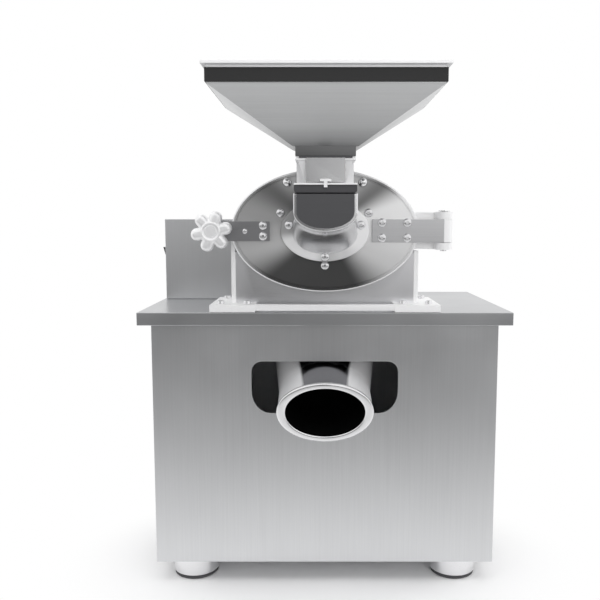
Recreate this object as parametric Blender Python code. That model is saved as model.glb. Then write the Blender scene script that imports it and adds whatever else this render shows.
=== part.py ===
"""Food grinding machine: a hammer mill with a swinging feed door, on a sheet-metal cabinet.

Metres, +Z up, the operator stands at -Y. The door with its inlet and hopper swings about +Z,
the feed gate slides towards the operator, the star knob turns on the door, and a belt couples
the motor in the cabinet to the mill spindle. Sizes are driven by the values below.
"""

import math

import bmesh
import bpy
from mathutils import Matrix, Vector

# Fits
SEAT = 0.0003  # between two pieces that rest on each other
RUNNING = 0.0005  # round a turning or sliding piece
SHEET = 0.002  # stainless sheet of cabinet, table, chute and guard
SETBACK = 0.0004  # of a welded member behind the edge of what it is welded to
WELD = 0.004  # how far welded members run into each other

# Cabinet and table
TABLE_WIDTH = 0.520
TABLE_DEPTH = 0.300
TABLE_HEIGHT = 0.3995
TABLE_EDGE = 0.018
OVERHANG = 0.016
REAR_FLANGE = 0.020
FLOOR_LIP = 0.025
FOOT_HEIGHT = 0.032
FOOT_RADIUS = 0.0335
FOOT_SIDE_INSET = 0.051
FOOT_END_INSET = 0.0415
PAD_HEIGHT = 0.005
PAD_INSET = 0.0012
LEVELLING_STUD = 0.006
STUD_LENGTH = 0.020
LOUVRE_LENGTH = 0.110
LOUVRE_HEIGHT = 0.005
LOUVRE_PITCH = 0.022
LOUVRE_ROWS = 5
LOUVRES_HEIGHT = 0.105
BELT_SLOT_MARGIN = 0.010
CUTOUT_WIDTH = 0.207
CUTOUT_TOP = 0.3282
CUTOUT_BOTTOM = 0.2537
CUTOUT_CORNER = 0.0145
CUTOUT_LOWER_WIDTH = 0.0265
CUTOUT_LOWER_HEIGHT = 0.032
SPOUT_CLEARANCE = 0.0045

# Grinding chamber
SPINDLE_ABOVE_TABLE = 0.112
DOOR_HALF_WIDTH = 0.1295
DOOR_HALF_HEIGHT = 0.0848
DOOR_THICKNESS = 0.0162
DOOR_SETBACK = 0.015
DOOR_OVERLAP = 0.0035
DOOR_CHAMFER = 0.002
GROOVE_INSET = 0.005
GROOVE_WIDTH = 0.0016
GROOVE_DEPTH = 0.0012
SPIGOT_DEPTH = 0.0037
SPIGOT_PLAY = 0.0008
DRUM_DEPTH = 0.078
DRUM_WALL = 0.005
DRUM_BACK_WALL = 0.008
SIEVE_RADIUS = 0.0725
ROTOR_RADIUS = 0.066
ROTOR_DISC = 0.006
ROTOR_HUB = 0.024
ROTOR_FLOOR_GAP = 0.0045
HAMMERS = 6
HAMMER_WIDTH = 0.012
HAMMER_DEPTH = 0.020
STATOR_RADIUS = 0.062
STATOR_BORE = 0.032
STATOR_PLATE = 0.006
STATOR_RIB = 0.005
STATOR_RIBS = 12
GRINDING_GAP = 0.0025

# Spindle, bearings and belt drive
BEARING_RADIUS = 0.031
BEARING_WIDTH = 0.0155
JOURNAL_RADIUS = 0.015
SHAFT_END_RADIUS = 0.0125
HOUSING_RADIUS = 0.042
HOUSING_LENGTH = 0.092
PEDESTAL_WIDTH = 0.072
PEDESTAL_FOOT = 0.140
FOOT_PLATE = 0.010
PULLEY_WIDTH = 0.040
PULLEY_GAP = 0.013
SPINDLE_PULLEY = 0.035
MOTOR_PULLEY = 0.056
BELT_SPACING = 0.016
BELT_HALF_TOP = 0.00525
BELT_HALF_BOTTOM = 0.0035
BELT_OUTSIDE = 0.003
BELT_INSIDE = 0.005
PULLEY_RIM = 0.001
GROOVE_FLOOR_PLAY = 0.0015
GROOVE_SIDE_PLAY = 0.0005
GUARD_HALF_WIDTH = 0.055
GUARD_CLEARANCE = 0.005

# Motor
MOTOR_AXIS_ABOVE_FLOOR = 0.080
MOTOR_RADIUS = 0.070
FIN_HEIGHT = 0.005
FINS = 18
MOTOR_LENGTH = 0.130
END_COVER = 0.015
FAN_COVER_LENGTH = 0.030
MOTOR_FEET_WIDTH = 0.150
MOTOR_SHAFT = 0.012
FAN_BLADES = 6

# Stand under the chamber
STAND_HALF_WIDTH = 0.1595
STAND_PAD_WIDTH = 0.063
STAND_PAD_HEIGHT = 0.010
STAND_PAD_DEPTH = 0.108
STAND_FRONT_GAP = 0.002
STAND_BAR_HEIGHT = 0.0085
STAND_BAR_DEPTH = 0.010
STAND_BAR_RAISE = 0.002
UPRIGHT = 0.006
UPRIGHT_SETBACK = 0.006
SADDLE_SETBACK = 0.004
LATCH_UPRIGHT_DROP = 0.0115
HINGE_UPRIGHT_DROP = 0.028

# Discharge
THROAT_HALF_WIDTH = 0.036
THROAT_HALF_DEPTH = 0.026
THROAT_PLAY = 0.004
DUCT_HALF_WIDTH = 0.0745
SPOUT_HALF_WIDTH = 0.065
SPOUT_HALF_HEIGHT = 0.044
SPOUT_BEND = 0.060
SPOUT_SLOPE = math.radians(15)
SPOUT_WIDENING = 0.012
SPOUT_REACH = 0.0465
SPOUT_CENTRE_HEIGHT = 0.2657
RIM_PROUD = 0.0015
RIM_WIDTH = 0.0125
RIM_LENGTH = 0.007

# Inlet on the door
INLET_HOLE_HALF_WIDTH = 0.034
INLET_HOLE_HALF_HEIGHT = 0.026
INLET_FLANGE_HALF_WIDTH = 0.061
INLET_FLANGE_HALF_HEIGHT = 0.042
INLET_FLANGE = 0.008
CHUTE_HALF_WIDTH = 0.0415
CHUTE_ROOT_HALF_WIDTH = 0.052
CHUTE_LENGTH = 0.0564
CHUTE_TOP = 0.049
CHUTE_ARC = 0.0245
CHUTE_ARC_HEIGHT = 0.025
CHUTE_ROOT_ARC = 0.003
CHUTE_ROOT_ARC_HEIGHT = 0.035
CHUTE_WALL = 0.004
COVER_SHEET = 0.0015
COVER_MARGIN = 0.0042
GASKET_HEIGHT = 0.0097
GASKET_HALF_WIDTH = 0.0405
GASKET_OVERHANG = 0.0035
GASKET_REAR_GAP = 0.006
GASKET_CORNER = 0.003
FLANGE_SHEET = 0.002
FLANGE_MARGIN = 0.0025
NECK_HEIGHT = 0.032
NECK_HALF_WIDTH = 0.026
NECK_HALF_DEPTH = 0.0205
NECK_TOP_HALF_WIDTH = 0.036
NECK_TOP_HALF_DEPTH = 0.0245
NECK_BACK_HALF_WIDTH = 0.0385
RAIL = 0.0042
GATE_SHEET = 0.002
GATE_APRON_HALF_WIDTH = 0.0252
GATE_TAB = 0.007
GATE_TAB_HEIGHT = 0.0035
GATE_STEM_DROP = 0.007

# Hopper
HOPPER_FORWARD = 0.020
HOPPER_FLANGE_HALF_WIDTH = 0.0387
HOPPER_FLANGE_HALF_DEPTH = 0.030
HOPPER_FLANGE = 0.0117
FUNNEL_FOOT_HALF_WIDTH = 0.0425
FUNNEL_HEIGHT = 0.066
COLLAR_HALF_WIDTH = 0.141
COLLAR_HALF_DEPTH = 0.094
COLLAR_HEIGHT = 0.021
LIP_WIDTH = 0.0062
LIP_HEIGHT = 0.004
FOLD = 0.0005
BAND = 0.0015

# Latch and hinge
PLATE = 0.006
LATCH_REACH = 0.153
LATCH_INNER_END = 0.076
LATCH_OUTER_MARGIN = 0.017
LATCH_HALF_HEIGHT = 0.0135
LATCH_BELOW_CENTRE = 0.0005
KNOB_LOBE_REACH = 0.0205
KNOB_LOBE = 0.0075
KNOB_LOBE_SWEEP = math.radians(130)
KNOB_LOBES = 6
KNOB_TURN = math.radians(12)
KNOB_EDGE = 0.0045
KNOB_THICKNESS = 0.018
KNOB_NECK = 0.0085
KNOB_HUB = 0.0135
STUD_RADIUS = 0.005
STUD_TIP = 0.022
LUG_DEPTH = 0.025
LUG_HALF_HEIGHT = 0.013
PIN_REACH = 0.165
PIN_BEHIND_FACE = 0.005
PIN_RADIUS = 0.005
KNUCKLE_RADIUS = 0.0115
STRAP_INNER_END = 0.065
STRAP_HALF_HEIGHT = 0.016
KNUCKLE_HEIGHT = 0.0097
BRACKET_WIDTH = 0.050

# Control box
BOX_WIDTH = 0.148
BOX_DEPTH = 0.110
BOX_HEIGHT = 0.129
BOX_EDGE_INSET = 0.004
BOX_SETBACK = 0.178
SWITCH_HEIGHT = 0.0685
SWITCH_FROM_FRONT = 0.030
ROCKER_HALF_WIDTH = 0.010
ROCKER_HALF_HEIGHT = 0.0165
ROCKER_PROUD = 0.006
BEZEL = 0.003
BEZEL_FRAME = 0.0033
ROCKER_TILT = math.radians(7)
GLAND_RADIUS = 0.011
GLAND_LENGTH = 0.012
CABLE_RADIUS = 0.004

# Facets round a full turn
ROUND = 24
OVAL = 40
WIDE = 32
DUCT = 28
SMALL = 16

# Places that follow from the sizes
table_front = -TABLE_DEPTH / 2
table_back = TABLE_DEPTH / 2
table_skin = TABLE_HEIGHT - SHEET
cabinet_half_width = TABLE_WIDTH / 2 - OVERHANG
cabinet_front = table_front + OVERHANG
cabinet_back = table_back - OVERHANG
floor_top = FOOT_HEIGHT + SHEET
spindle_z = TABLE_HEIGHT + SPINDLE_ABOVE_TABLE
door_front = table_front + DOOR_SETBACK
door_back = door_front + DOOR_THICKNESS
drum_front = door_back + SEAT
drum_back = drum_front + DRUM_DEPTH
drum_floor = drum_back - DRUM_BACK_WALL
drum_half_width = DOOR_HALF_WIDTH - DOOR_OVERLAP
drum_half_height = DOOR_HALF_HEIGHT - DOOR_OVERLAP
drum_bottom = spindle_z - drum_half_height
throat_y = (drum_front + drum_back) / 2
housing_front = drum_back + SEAT
housing_back = housing_front + HOUSING_LENGTH
pulley_y = housing_back + PULLEY_GAP + PULLEY_WIDTH / 2
motor_z = floor_top + SEAT + MOTOR_AXIS_ABOVE_FLOOR
hopper_y = table_front - HOPPER_FORWARD
inlet_flange_front = door_front - SEAT - INLET_FLANGE
chute_back = inlet_flange_front - SEAT
chute_front = chute_back - CHUTE_LENGTH
chute_top = spindle_z + CHUTE_TOP
gasket_bottom = chute_top + SEAT
gasket_top = gasket_bottom + GASKET_HEIGHT
neck_bottom = gasket_top + SEAT
neck_top = neck_bottom + FLANGE_SHEET + NECK_HEIGHT
gate_bottom = neck_top + SEAT
gate_top = gate_bottom + GATE_SHEET
hopper_bottom = gate_top + SEAT
funnel_foot = hopper_bottom + HOPPER_FLANGE
collar_bottom = funnel_foot + FUNNEL_HEIGHT
collar_top = collar_bottom + COLLAR_HEIGHT
hopper_top = collar_top + LIP_HEIGHT
lip_half_width = COLLAR_HALF_WIDTH + LIP_WIDTH
lip_half_depth = COLLAR_HALF_DEPTH + LIP_WIDTH
plate_back = door_front - SEAT
plate_front = plate_back - PLATE
pin_y = door_front + PIN_BEHIND_FACE
stand_bottom = TABLE_HEIGHT + SEAT
stand_front = table_front + STAND_FRONT_GAP
upright_inside = drum_half_width + RUNNING
saddle_front = drum_front + SADDLE_SETBACK
box_left = -TABLE_WIDTH / 2 + BOX_EDGE_INSET
box_right = box_left + BOX_WIDTH
box_front = table_front + BOX_SETBACK
box_back = box_front + BOX_DEPTH
box_bottom = TABLE_HEIGHT + SEAT
rocker_axis_x = box_left + SHEET
rocker_reach = ROCKER_PROUD + SHEET
switch_z = TABLE_HEIGHT + SWITCH_HEIGHT
switch_y = box_front + SWITCH_FROM_FRONT
machine_left = rocker_axis_x - Vector((rocker_reach, ROCKER_HALF_HEIGHT)).dot(
    (math.cos(ROCKER_TILT), math.sin(ROCKER_TILT))
)
machine_right = TABLE_WIDTH / 2
machine_front = hopper_y - lip_half_depth
origin_shift = Vector((-(machine_left + machine_right) / 2, -(machine_front + table_back) / 2, 0))


# Materials
def finish(name, color, metallic, roughness):
    made = bpy.data.materials.new(name)
    made.use_nodes = True
    shader = made.node_tree.nodes["Principled BSDF"]
    shader.inputs["Base Color"].default_value = (*color, 1)
    shader.inputs["Metallic"].default_value = metallic
    shader.inputs["Roughness"].default_value = roughness
    made.diffuse_color = (*color, 1)
    return made


# Outlines, as lists of (u, v) points that run counter-clockwise
def oval(half_width, half_height, steps=OVAL):
    angles = [2 * math.pi * i / steps for i in range(steps)]
    return [(half_width * math.cos(a), half_height * math.sin(a)) for a in angles]


def circle(radius, steps=ROUND):
    return oval(radius, radius, steps)


def rectangle(left, right, low, high):
    return [(left, low), (right, low), (right, high), (left, high)]


def rounded_rectangle(half_width, half_height, radius, steps=4):
    points = []
    corners = ((1, 1), (-1, 1), (-1, -1), (1, -1))
    for quarter, (side, end) in enumerate(corners):
        for i in range(steps + 1):
            a = math.pi / 2 * (quarter + i / steps)
            across = side * (half_width - radius) + radius * math.cos(a)
            up = end * (half_height - radius) + radius * math.sin(a)
            points.append((across, up))
    return points


def superoval(half_width, half_height, squareness, steps=OVAL):
    """An oval at squareness 2 that nears a rectangle as squareness grows."""
    points = []
    for i in range(steps):
        a = 2 * math.pi * i / steps
        c, s = math.cos(a), math.sin(a)
        across = half_width * math.copysign(abs(c) ** (2 / squareness), c)
        up = half_height * math.copysign(abs(s) ** (2 / squareness), s)
        points.append((across, up))
    return points


def u_outline(half_width, top, arc_centre, arc_height, steps=16):
    """A letter U with a flat top and a half-oval bottom."""
    points = [(half_width, top), (-half_width, top)]
    for i in range(steps + 1):
        a = math.pi * (1 + i / steps)
        points.append((half_width * math.cos(a), arc_centre + arc_height * math.sin(a)))
    return points


# Rings of 3-D points from an outline
def across_y(outline, y, x=0.0, z=0.0):
    return [(x + u, y, z + v) for u, v in outline]


def across_z(outline, z, x=0.0, y=0.0):
    return [(x + u, y + v, z) for u, v in outline]


def across_x(outline, x, y=0.0, z=0.0):
    return [(x, y + u, z + v) for u, v in outline]


# Solids, as meshes under construction
def loft(rings, joined=False):
    """A skin over rings of equal point counts, capped at both ends or joined end to start."""
    bm = bmesh.new()
    loops = [[bm.verts.new(point) for point in ring] for ring in rings]
    followers = loops[1:] + (loops[:1] if joined else [])
    for near, far in zip(loops, followers):
        for i in range(len(near)):
            j = (i + 1) % len(near)
            bm.faces.new((near[i], near[j], far[j], far[i]))
    if not joined:
        bm.faces.new(loops[0])
        bm.faces.new(loops[-1])
    return bm


def prism(outline, across, start, end, **centre):
    return loft([across(outline, start, **centre), across(outline, end, **centre)])


def box(low, high):
    return prism(rectangle(low[0], high[0], low[1], high[1]), across_z, low[2], high[2])


def turned(profile, across, steps=ROUND, **centre):
    """A turned solid: (radius, place along the axis) points, from axis to axis or round a bore."""
    full = profile[0][0] == 0
    rims = profile[1:-1] if full else profile
    rings = [across(circle(radius, steps), along, **centre) for radius, along in rims]
    return loft(rings, joined=not full)


def spokes(count, low, high, z):
    """Equal boxes in one mesh, set round an axis along Y at height z. The first stands at z = 0."""
    bm = box(low, high)
    first = bm.verts[:] + bm.edges[:] + bm.faces[:]
    for i in range(1, count):
        turn = Matrix.Rotation(2 * math.pi * i / count, 3, "Y")
        made = bmesh.ops.duplicate(bm, geom=first)["geom"]
        corners = [part for part in made if isinstance(part, bmesh.types.BMVert)]
        bmesh.ops.rotate(bm, verts=corners, cent=(0, 0, 0), matrix=turn)
    bm.transform(Matrix.Translation((0, 0, z)))
    return bm


# Objects
pivot_places = {}


def pivot(name, place, carrier=None):
    """An empty on a joint's axis. Places are machine coordinates, before the origin shift."""
    empty = bpy.data.objects.new(name, None)
    bpy.context.scene.collection.objects.link(empty)
    empty.parent = carrier
    empty.location = Vector(place) - (pivot_places[carrier.name] if carrier else Vector())
    pivot_places[name] = Vector(place)
    return empty


def piece(name, bm, look, carrier):
    """A named sub-part, drawn in machine coordinates and carried by a pivot."""
    bmesh.ops.recalc_face_normals(bm, faces=bm.faces)
    mesh = bpy.data.meshes.new(name)
    bm.to_mesh(mesh)
    bm.free()
    mesh.shade_smooth()
    mesh.set_sharp_from_angle(angle=math.radians(35))
    if look:
        mesh.materials.append(look)
    made = bpy.data.objects.new(name, mesh)
    bpy.context.scene.collection.objects.link(made)
    made.parent = carrier
    made.matrix_parent_inverse = Matrix.Translation(-pivot_places[carrier.name])
    return made


def combine(target, bm, operation):
    tool = piece(f"{target.name}_tool", bm, None, machine)
    tool.hide_render = True
    tool.display_type = "WIRE"
    step = target.modifiers.new(operation.lower(), "BOOLEAN")
    step.operation = operation
    step.object = tool


def cut(target, *solids):
    for bm in solids:
        combine(target, bm, "DIFFERENCE")


def fuse(target, *solids):
    for bm in solids:
        combine(target, bm, "UNION")


for old in list(bpy.data.objects):
    bpy.data.objects.remove(old, do_unlink=True)

satin_steel = finish("satin_steel", (0.60, 0.60, 0.61), 1.0, 0.35)
polished_steel = finish("polished_steel", (0.75, 0.75, 0.76), 1.0, 0.15)
cast_steel = finish("cast_steel", (0.55, 0.55, 0.56), 1.0, 0.30)
chrome = finish("chrome", (0.80, 0.80, 0.81), 1.0, 0.08)
dark_plate = finish("dark_plate", (0.10, 0.10, 0.105), 0.6, 0.35)
black_rubber = finish("black_rubber", (0.02, 0.02, 0.022), 0.0, 0.7)
black_plastic = finish("black_plastic", (0.015, 0.015, 0.016), 0.0, 0.35)
motor_paint = finish("motor_paint", (0.12, 0.20, 0.30), 0.0, 0.45)
machined_steel = finish("machined_steel", (0.50, 0.50, 0.52), 1.0, 0.25)

machine = pivot("machine", (0, 0, 0))
machine.location = origin_shift
door_pivot = pivot("door_pivot", (PIN_REACH, pin_y, spindle_z), machine)
spindle_pivot = pivot("spindle_pivot", (0, drum_back, spindle_z), machine)
motor_pivot = pivot("motor_pivot", (0, pulley_y, motor_z), machine)
gate_pivot = pivot("gate_pivot", (0, hopper_y, gate_bottom), door_pivot)
knob_pivot = pivot("knob_pivot", (-LATCH_REACH, plate_front, spindle_z - LATCH_BELOW_CENTRE), door_pivot)
rocker_pivot = pivot("rocker_pivot", (rocker_axis_x, switch_y, switch_z), machine)


# Feet: a chrome cup on a levelling stud, with a rubber pad under it
def feet():
    across = cabinet_half_width - FOOT_SIDE_INSET
    along = cabinet_back - FOOT_END_INSET
    places = {
        "front_left": (-across, -along),
        "front_right": (across, -along),
        "rear_left": (-across, along),
        "rear_right": (across, along),
    }
    cup_top = FOOT_HEIGHT - SEAT
    for corner, (x, y) in places.items():
        profile = [
            (0, PAD_HEIGHT + SEAT),
            (FOOT_RADIUS, PAD_HEIGHT + SEAT),
            (FOOT_RADIUS, cup_top),
            (LEVELLING_STUD, cup_top),
            (LEVELLING_STUD, cup_top + STUD_LENGTH),
            (0, cup_top + STUD_LENGTH),
        ]
        piece(f"foot_{corner}", turned(profile, across_z, x=x, y=y), chrome, machine)
        pad = FOOT_RADIUS - PAD_INSET
        profile = [(0, 0), (pad, 0), (pad, PAD_HEIGHT), (0, PAD_HEIGHT)]
        piece(f"foot_pad_{corner}", turned(profile, across_z, x=x, y=y), black_rubber, machine)
    return places.values()


# Cabinet: a shell bent from one sheet, a floor tray, a louvred rear panel and a folded table top
def cutout_outline():
    """The discharge window: small round corners above and large oval corners below."""
    half = CUTOUT_WIDTH / 2
    points = []
    for i in range(7):
        a = math.pi / 2 * i / 6
        across = half - CUTOUT_LOWER_WIDTH * (1 - math.sin(a))
        points.append((across, CUTOUT_BOTTOM + CUTOUT_LOWER_HEIGHT * (1 - math.cos(a))))
    for i in range(5):
        a = math.pi / 2 * i / 4
        across = half - CUTOUT_CORNER * (1 - math.cos(a))
        points.append((across, CUTOUT_TOP - CUTOUT_CORNER * (1 - math.sin(a))))
    return points + [(-u, v) for u, v in reversed(points)]


def cabinet(foot_places):
    side, front, back = cabinet_half_width, cabinet_front, cabinet_back
    outline = [
        (-side, back),
        (-side, front),
        (side, front),
        (side, back),
        (side - REAR_FLANGE, back),
        (side - REAR_FLANGE, back - SHEET),
        (side - SHEET, back - SHEET),
        (side - SHEET, front + SHEET),
        (SHEET - side, front + SHEET),
        (SHEET - side, back - SHEET),
        (REAR_FLANGE - side, back - SHEET),
        (REAR_FLANGE - side, back),
    ]
    shell = prism(outline, across_z, FOOT_HEIGHT, table_skin - SEAT)
    shell = piece("cabinet_shell", shell, satin_steel, machine)
    cut(shell, prism(cutout_outline(), across_y, front - SHEET, front + 2 * SHEET))
    bay_half_width = SPOUT_HALF_WIDTH + SPOUT_CLEARANCE
    bay_half_height = SPOUT_HALF_HEIGHT / math.cos(SPOUT_SLOPE) + SPOUT_CLEARANCE
    bay = oval(bay_half_width, bay_half_height)
    bay_z = SPOUT_CENTRE_HEIGHT + SPOUT_REACH * math.tan(SPOUT_SLOPE)
    cut(shell, prism(bay, across_y, front - SHEET, front + 2 * SHEET, z=bay_z))

    half_width = side - SHEET - SEAT
    low = (-half_width, front + SHEET + SEAT, FOOT_HEIGHT)
    high = (half_width, back - SHEET - SEAT, FOOT_HEIGHT + FLOOR_LIP)
    tray = piece("cabinet_floor", box(low, high), satin_steel, machine)
    pocket_low = (low[0] + SHEET, low[1] + SHEET, floor_top)
    pocket_high = (high[0] - SHEET, high[1] - SHEET, high[2] + SHEET)
    cut(tray, box(pocket_low, pocket_high))
    for x, y in foot_places:
        hole = circle(LEVELLING_STUD + RUNNING)
        cut(tray, prism(hole, across_z, FOOT_HEIGHT - SHEET, floor_top + SHEET, x=x, y=y))

    panel_bottom = FOOT_HEIGHT + SHEET
    panel_top = TABLE_HEIGHT - TABLE_EDGE - SHEET
    panel_half_width = side - SHEET
    low = (-panel_half_width, back + SEAT, panel_bottom)
    high = (panel_half_width, back + SEAT + SHEET, panel_top)
    rear = piece("rear_panel", box(low, high), satin_steel, machine)
    louvre_x = panel_half_width / 2
    for column in (-louvre_x, louvre_x):
        for row in range(LOUVRE_ROWS):
            z = LOUVRES_HEIGHT + (row - (LOUVRE_ROWS - 1) / 2) * LOUVRE_PITCH
            slot = rounded_rectangle(LOUVRE_LENGTH / 2, LOUVRE_HEIGHT / 2, LOUVRE_HEIGHT * 0.45, 2)
            cut(rear, prism(slot, across_y, back - SHEET, back + 3 * SHEET, x=column, z=z))
    gland_z = panel_bottom + FLOOR_LIP + 3 * GLAND_RADIUS
    gland_x = panel_half_width - 3 * GLAND_RADIUS
    bore = prism(circle(GLAND_RADIUS), across_y, back - SHEET, back + 3 * SHEET, x=gland_x, z=gland_z)
    cut(rear, bore)
    barrel = GLAND_RADIUS - SEAT
    outside = back + 2 * SEAT + SHEET
    profile = [
        (CABLE_RADIUS, back - REAR_FLANGE / 2),
        (barrel, back - REAR_FLANGE / 2),
        (barrel, outside),
        (barrel * 1.35, outside),
        (barrel * 1.35, outside + GLAND_LENGTH * 0.3),
        (barrel, outside + GLAND_LENGTH * 0.35),
        (CABLE_RADIUS * 1.4, outside + GLAND_LENGTH),
        (CABLE_RADIUS, outside + GLAND_LENGTH),
    ]
    gland = turned(profile, across_y, SMALL, x=gland_x, z=gland_z)
    piece("cable_gland", gland, black_plastic, machine)

    low = (-TABLE_WIDTH / 2, table_front, TABLE_HEIGHT - TABLE_EDGE)
    high = (TABLE_WIDTH / 2, table_back, TABLE_HEIGHT)
    table = piece("table_top", box(low, high), satin_steel, machine)
    pocket_low = (low[0] + SHEET, low[1] + SHEET, low[2] - SHEET)
    pocket_high = (high[0] - SHEET, high[1] - SHEET, table_skin)
    cut(table, box(pocket_low, pocket_high))
    throat_x = THROAT_HALF_WIDTH + THROAT_PLAY
    throat_front = throat_y - THROAT_HALF_DEPTH - THROAT_PLAY
    throat_back = throat_y + THROAT_HALF_DEPTH + THROAT_PLAY
    slot_x = MOTOR_PULLEY - BELT_SLOT_MARGIN
    slot_front = pulley_y - PULLEY_WIDTH / 2
    slot_back = pulley_y + PULLEY_WIDTH / 2
    under, over = table_skin - SHEET, TABLE_HEIGHT + SHEET
    cut(
        table,
        box((-throat_x, throat_front, under), (throat_x, throat_back, over)),
        box((-slot_x, slot_front, under), (slot_x, slot_back, over)),
    )


# Motor, lying on the cabinet floor with its shaft towards the back
def motor():
    frame_back = pulley_y - PULLEY_WIDTH / 2 - SEAT - END_COVER - 2 * SEAT - RUNNING
    frame_front = frame_back - MOTOR_LENGTH
    fins = []
    for i in range(FINS):
        for offset, height in ((0, 0), (0.15, FIN_HEIGHT), (0.40, FIN_HEIGHT), (0.55, 0)):
            a = 2 * math.pi * (i + offset) / FINS
            radius = MOTOR_RADIUS + height
            fins.append((radius * math.cos(a), radius * math.sin(a)))
    frame = prism(fins, across_y, frame_front, frame_back, z=motor_z)
    frame = piece("motor_frame", frame, motor_paint, machine)
    foot_inset = END_COVER
    foot_bottom = floor_top + SEAT
    half = MOTOR_FEET_WIDTH / 2
    foot_low = (-half, frame_front + foot_inset, foot_bottom)
    foot_high = (half, frame_back - foot_inset, foot_bottom + FOOT_PLATE)
    web_low = (-half / 2, frame_front + 2 * foot_inset, foot_bottom + FOOT_PLATE / 2)
    web_high = (half / 2, frame_back - 2 * foot_inset, motor_z - MOTOR_RADIUS / 2)
    fuse(frame, box(foot_low, foot_high), box(web_low, web_high))
    bore = circle(MOTOR_SHAFT + RUNNING)
    cut(frame, prism(bore, across_y, frame_front - SHEET, frame_back + SHEET, z=motor_z))

    cover_front = frame_back + SEAT
    cover_back = cover_front + END_COVER
    profile = [
        (MOTOR_SHAFT + RUNNING, cover_front),
        (MOTOR_RADIUS, cover_front),
        (MOTOR_RADIUS, cover_front + END_COVER * 0.4),
        (MOTOR_RADIUS * 0.45, cover_back),
        (MOTOR_SHAFT + RUNNING, cover_back),
    ]
    piece("motor_end_cover", turned(profile, across_y, z=motor_z), motor_paint, machine)

    fan_back = frame_front - SEAT
    fan_front = fan_back - FAN_COVER_LENGTH
    rim = MOTOR_RADIUS + FIN_HEIGHT
    profile = [
        (rim, fan_back),
        (rim, fan_front + 3 * SHEET),
        (rim - 3 * SHEET, fan_front),
        (MOTOR_SHAFT, fan_front),
        (MOTOR_SHAFT, fan_front + SHEET),
        (rim - 4 * SHEET, fan_front + SHEET),
        (rim - SHEET, fan_front + 4 * SHEET),
        (rim - SHEET, fan_back),
    ]
    piece("motor_fan_cover", turned(profile, across_y, z=motor_z), motor_paint, machine)

    hub = MOTOR_SHAFT * 1.8
    fan_tip = rim - 6 * SHEET
    fan_low = fan_front + 4 * SHEET
    fan_high = fan_back - 2 * SHEET
    profile = [(0, fan_low), (hub, fan_low), (hub, fan_high), (0, fan_high)]
    fan = turned(profile, across_y, z=motor_z)
    fan = piece("cooling_fan", fan, black_plastic, motor_pivot)
    blade_low = (hub * 0.8, fan_low + SHEET, -SHEET / 2)
    blade_high = (fan_tip, fan_high - SHEET, SHEET / 2)
    fuse(fan, spokes(FAN_BLADES, blade_low, blade_high, motor_z))
    bore_end = fan_low + 4 * SHEET
    cut(fan, prism(circle(MOTOR_SHAFT + SEAT), across_y, bore_end, fan_high + SHEET, z=motor_z))

    shaft_low = bore_end + SEAT
    shaft_high = pulley_y + PULLEY_WIDTH / 2 + SHEET
    profile = [(0, shaft_low), (MOTOR_SHAFT, shaft_low), (MOTOR_SHAFT, shaft_high), (0, shaft_high)]
    piece("motor_shaft", turned(profile, across_y, z=motor_z), machined_steel, motor_pivot)

    side = MOTOR_RADIUS + FIN_HEIGHT + SEAT
    middle = (frame_front + frame_back) / 2
    low = (side, middle - MOTOR_RADIUS / 2, motor_z - MOTOR_RADIUS * 0.4)
    high = (side + MOTOR_RADIUS * 0.55, middle + MOTOR_RADIUS / 2, motor_z + MOTOR_RADIUS * 0.4)
    piece("terminal_box", box(low, high), motor_paint, machine)


# Belt drive: two V-belts between a grooved pulley on each shaft
def pulley(name, radius, bore, z, carrier):
    outside = radius + BELT_OUTSIDE + PULLEY_RIM
    groove_floor = radius - BELT_INSIDE - GROOVE_FLOOR_PLAY
    groove_top = BELT_HALF_TOP + 2 * GROOVE_SIDE_PLAY
    groove_bottom = BELT_HALF_BOTTOM + GROOVE_SIDE_PLAY
    half = PULLEY_WIDTH / 2
    profile = [(bore, pulley_y - half), (outside, pulley_y - half)]
    for side in (-1, 1):
        centre = pulley_y + side * BELT_SPACING / 2
        profile += [
            (outside, centre - groove_top),
            (groove_floor, centre - groove_bottom),
            (groove_floor, centre + groove_bottom),
            (outside, centre + groove_top),
        ]
    profile += [(outside, pulley_y + half), (bore, pulley_y + half)]
    piece(name, turned(profile, across_y, z=z), machined_steel, carrier)


def belts():
    tilt = math.asin((MOTOR_PULLEY - SPINDLE_PULLEY) / (spindle_z - motor_z))
    stops = []
    for i in range(13):
        stops.append((spindle_z, SPINDLE_PULLEY, tilt + (math.pi - 2 * tilt) * i / 12))
    for i in range(13):
        stops.append((motor_z, MOTOR_PULLEY, math.pi - tilt + (math.pi + 2 * tilt) * i / 12))
    section = (
        (BELT_OUTSIDE, -BELT_HALF_TOP),
        (BELT_OUTSIDE, BELT_HALF_TOP),
        (-BELT_INSIDE, BELT_HALF_BOTTOM),
        (-BELT_INSIDE, -BELT_HALF_BOTTOM),
    )
    for name, side in (("v_belt_front", -1), ("v_belt_rear", 1)):
        centre = pulley_y + side * BELT_SPACING / 2
        rings = []
        for z, radius, a in stops:
            c, s = math.cos(a), math.sin(a)
            rings.append([((radius + u) * c, centre + v, z + (radius + u) * s) for u, v in section])
        piece(name, loft(rings, joined=True), black_rubber, machine)


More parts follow.
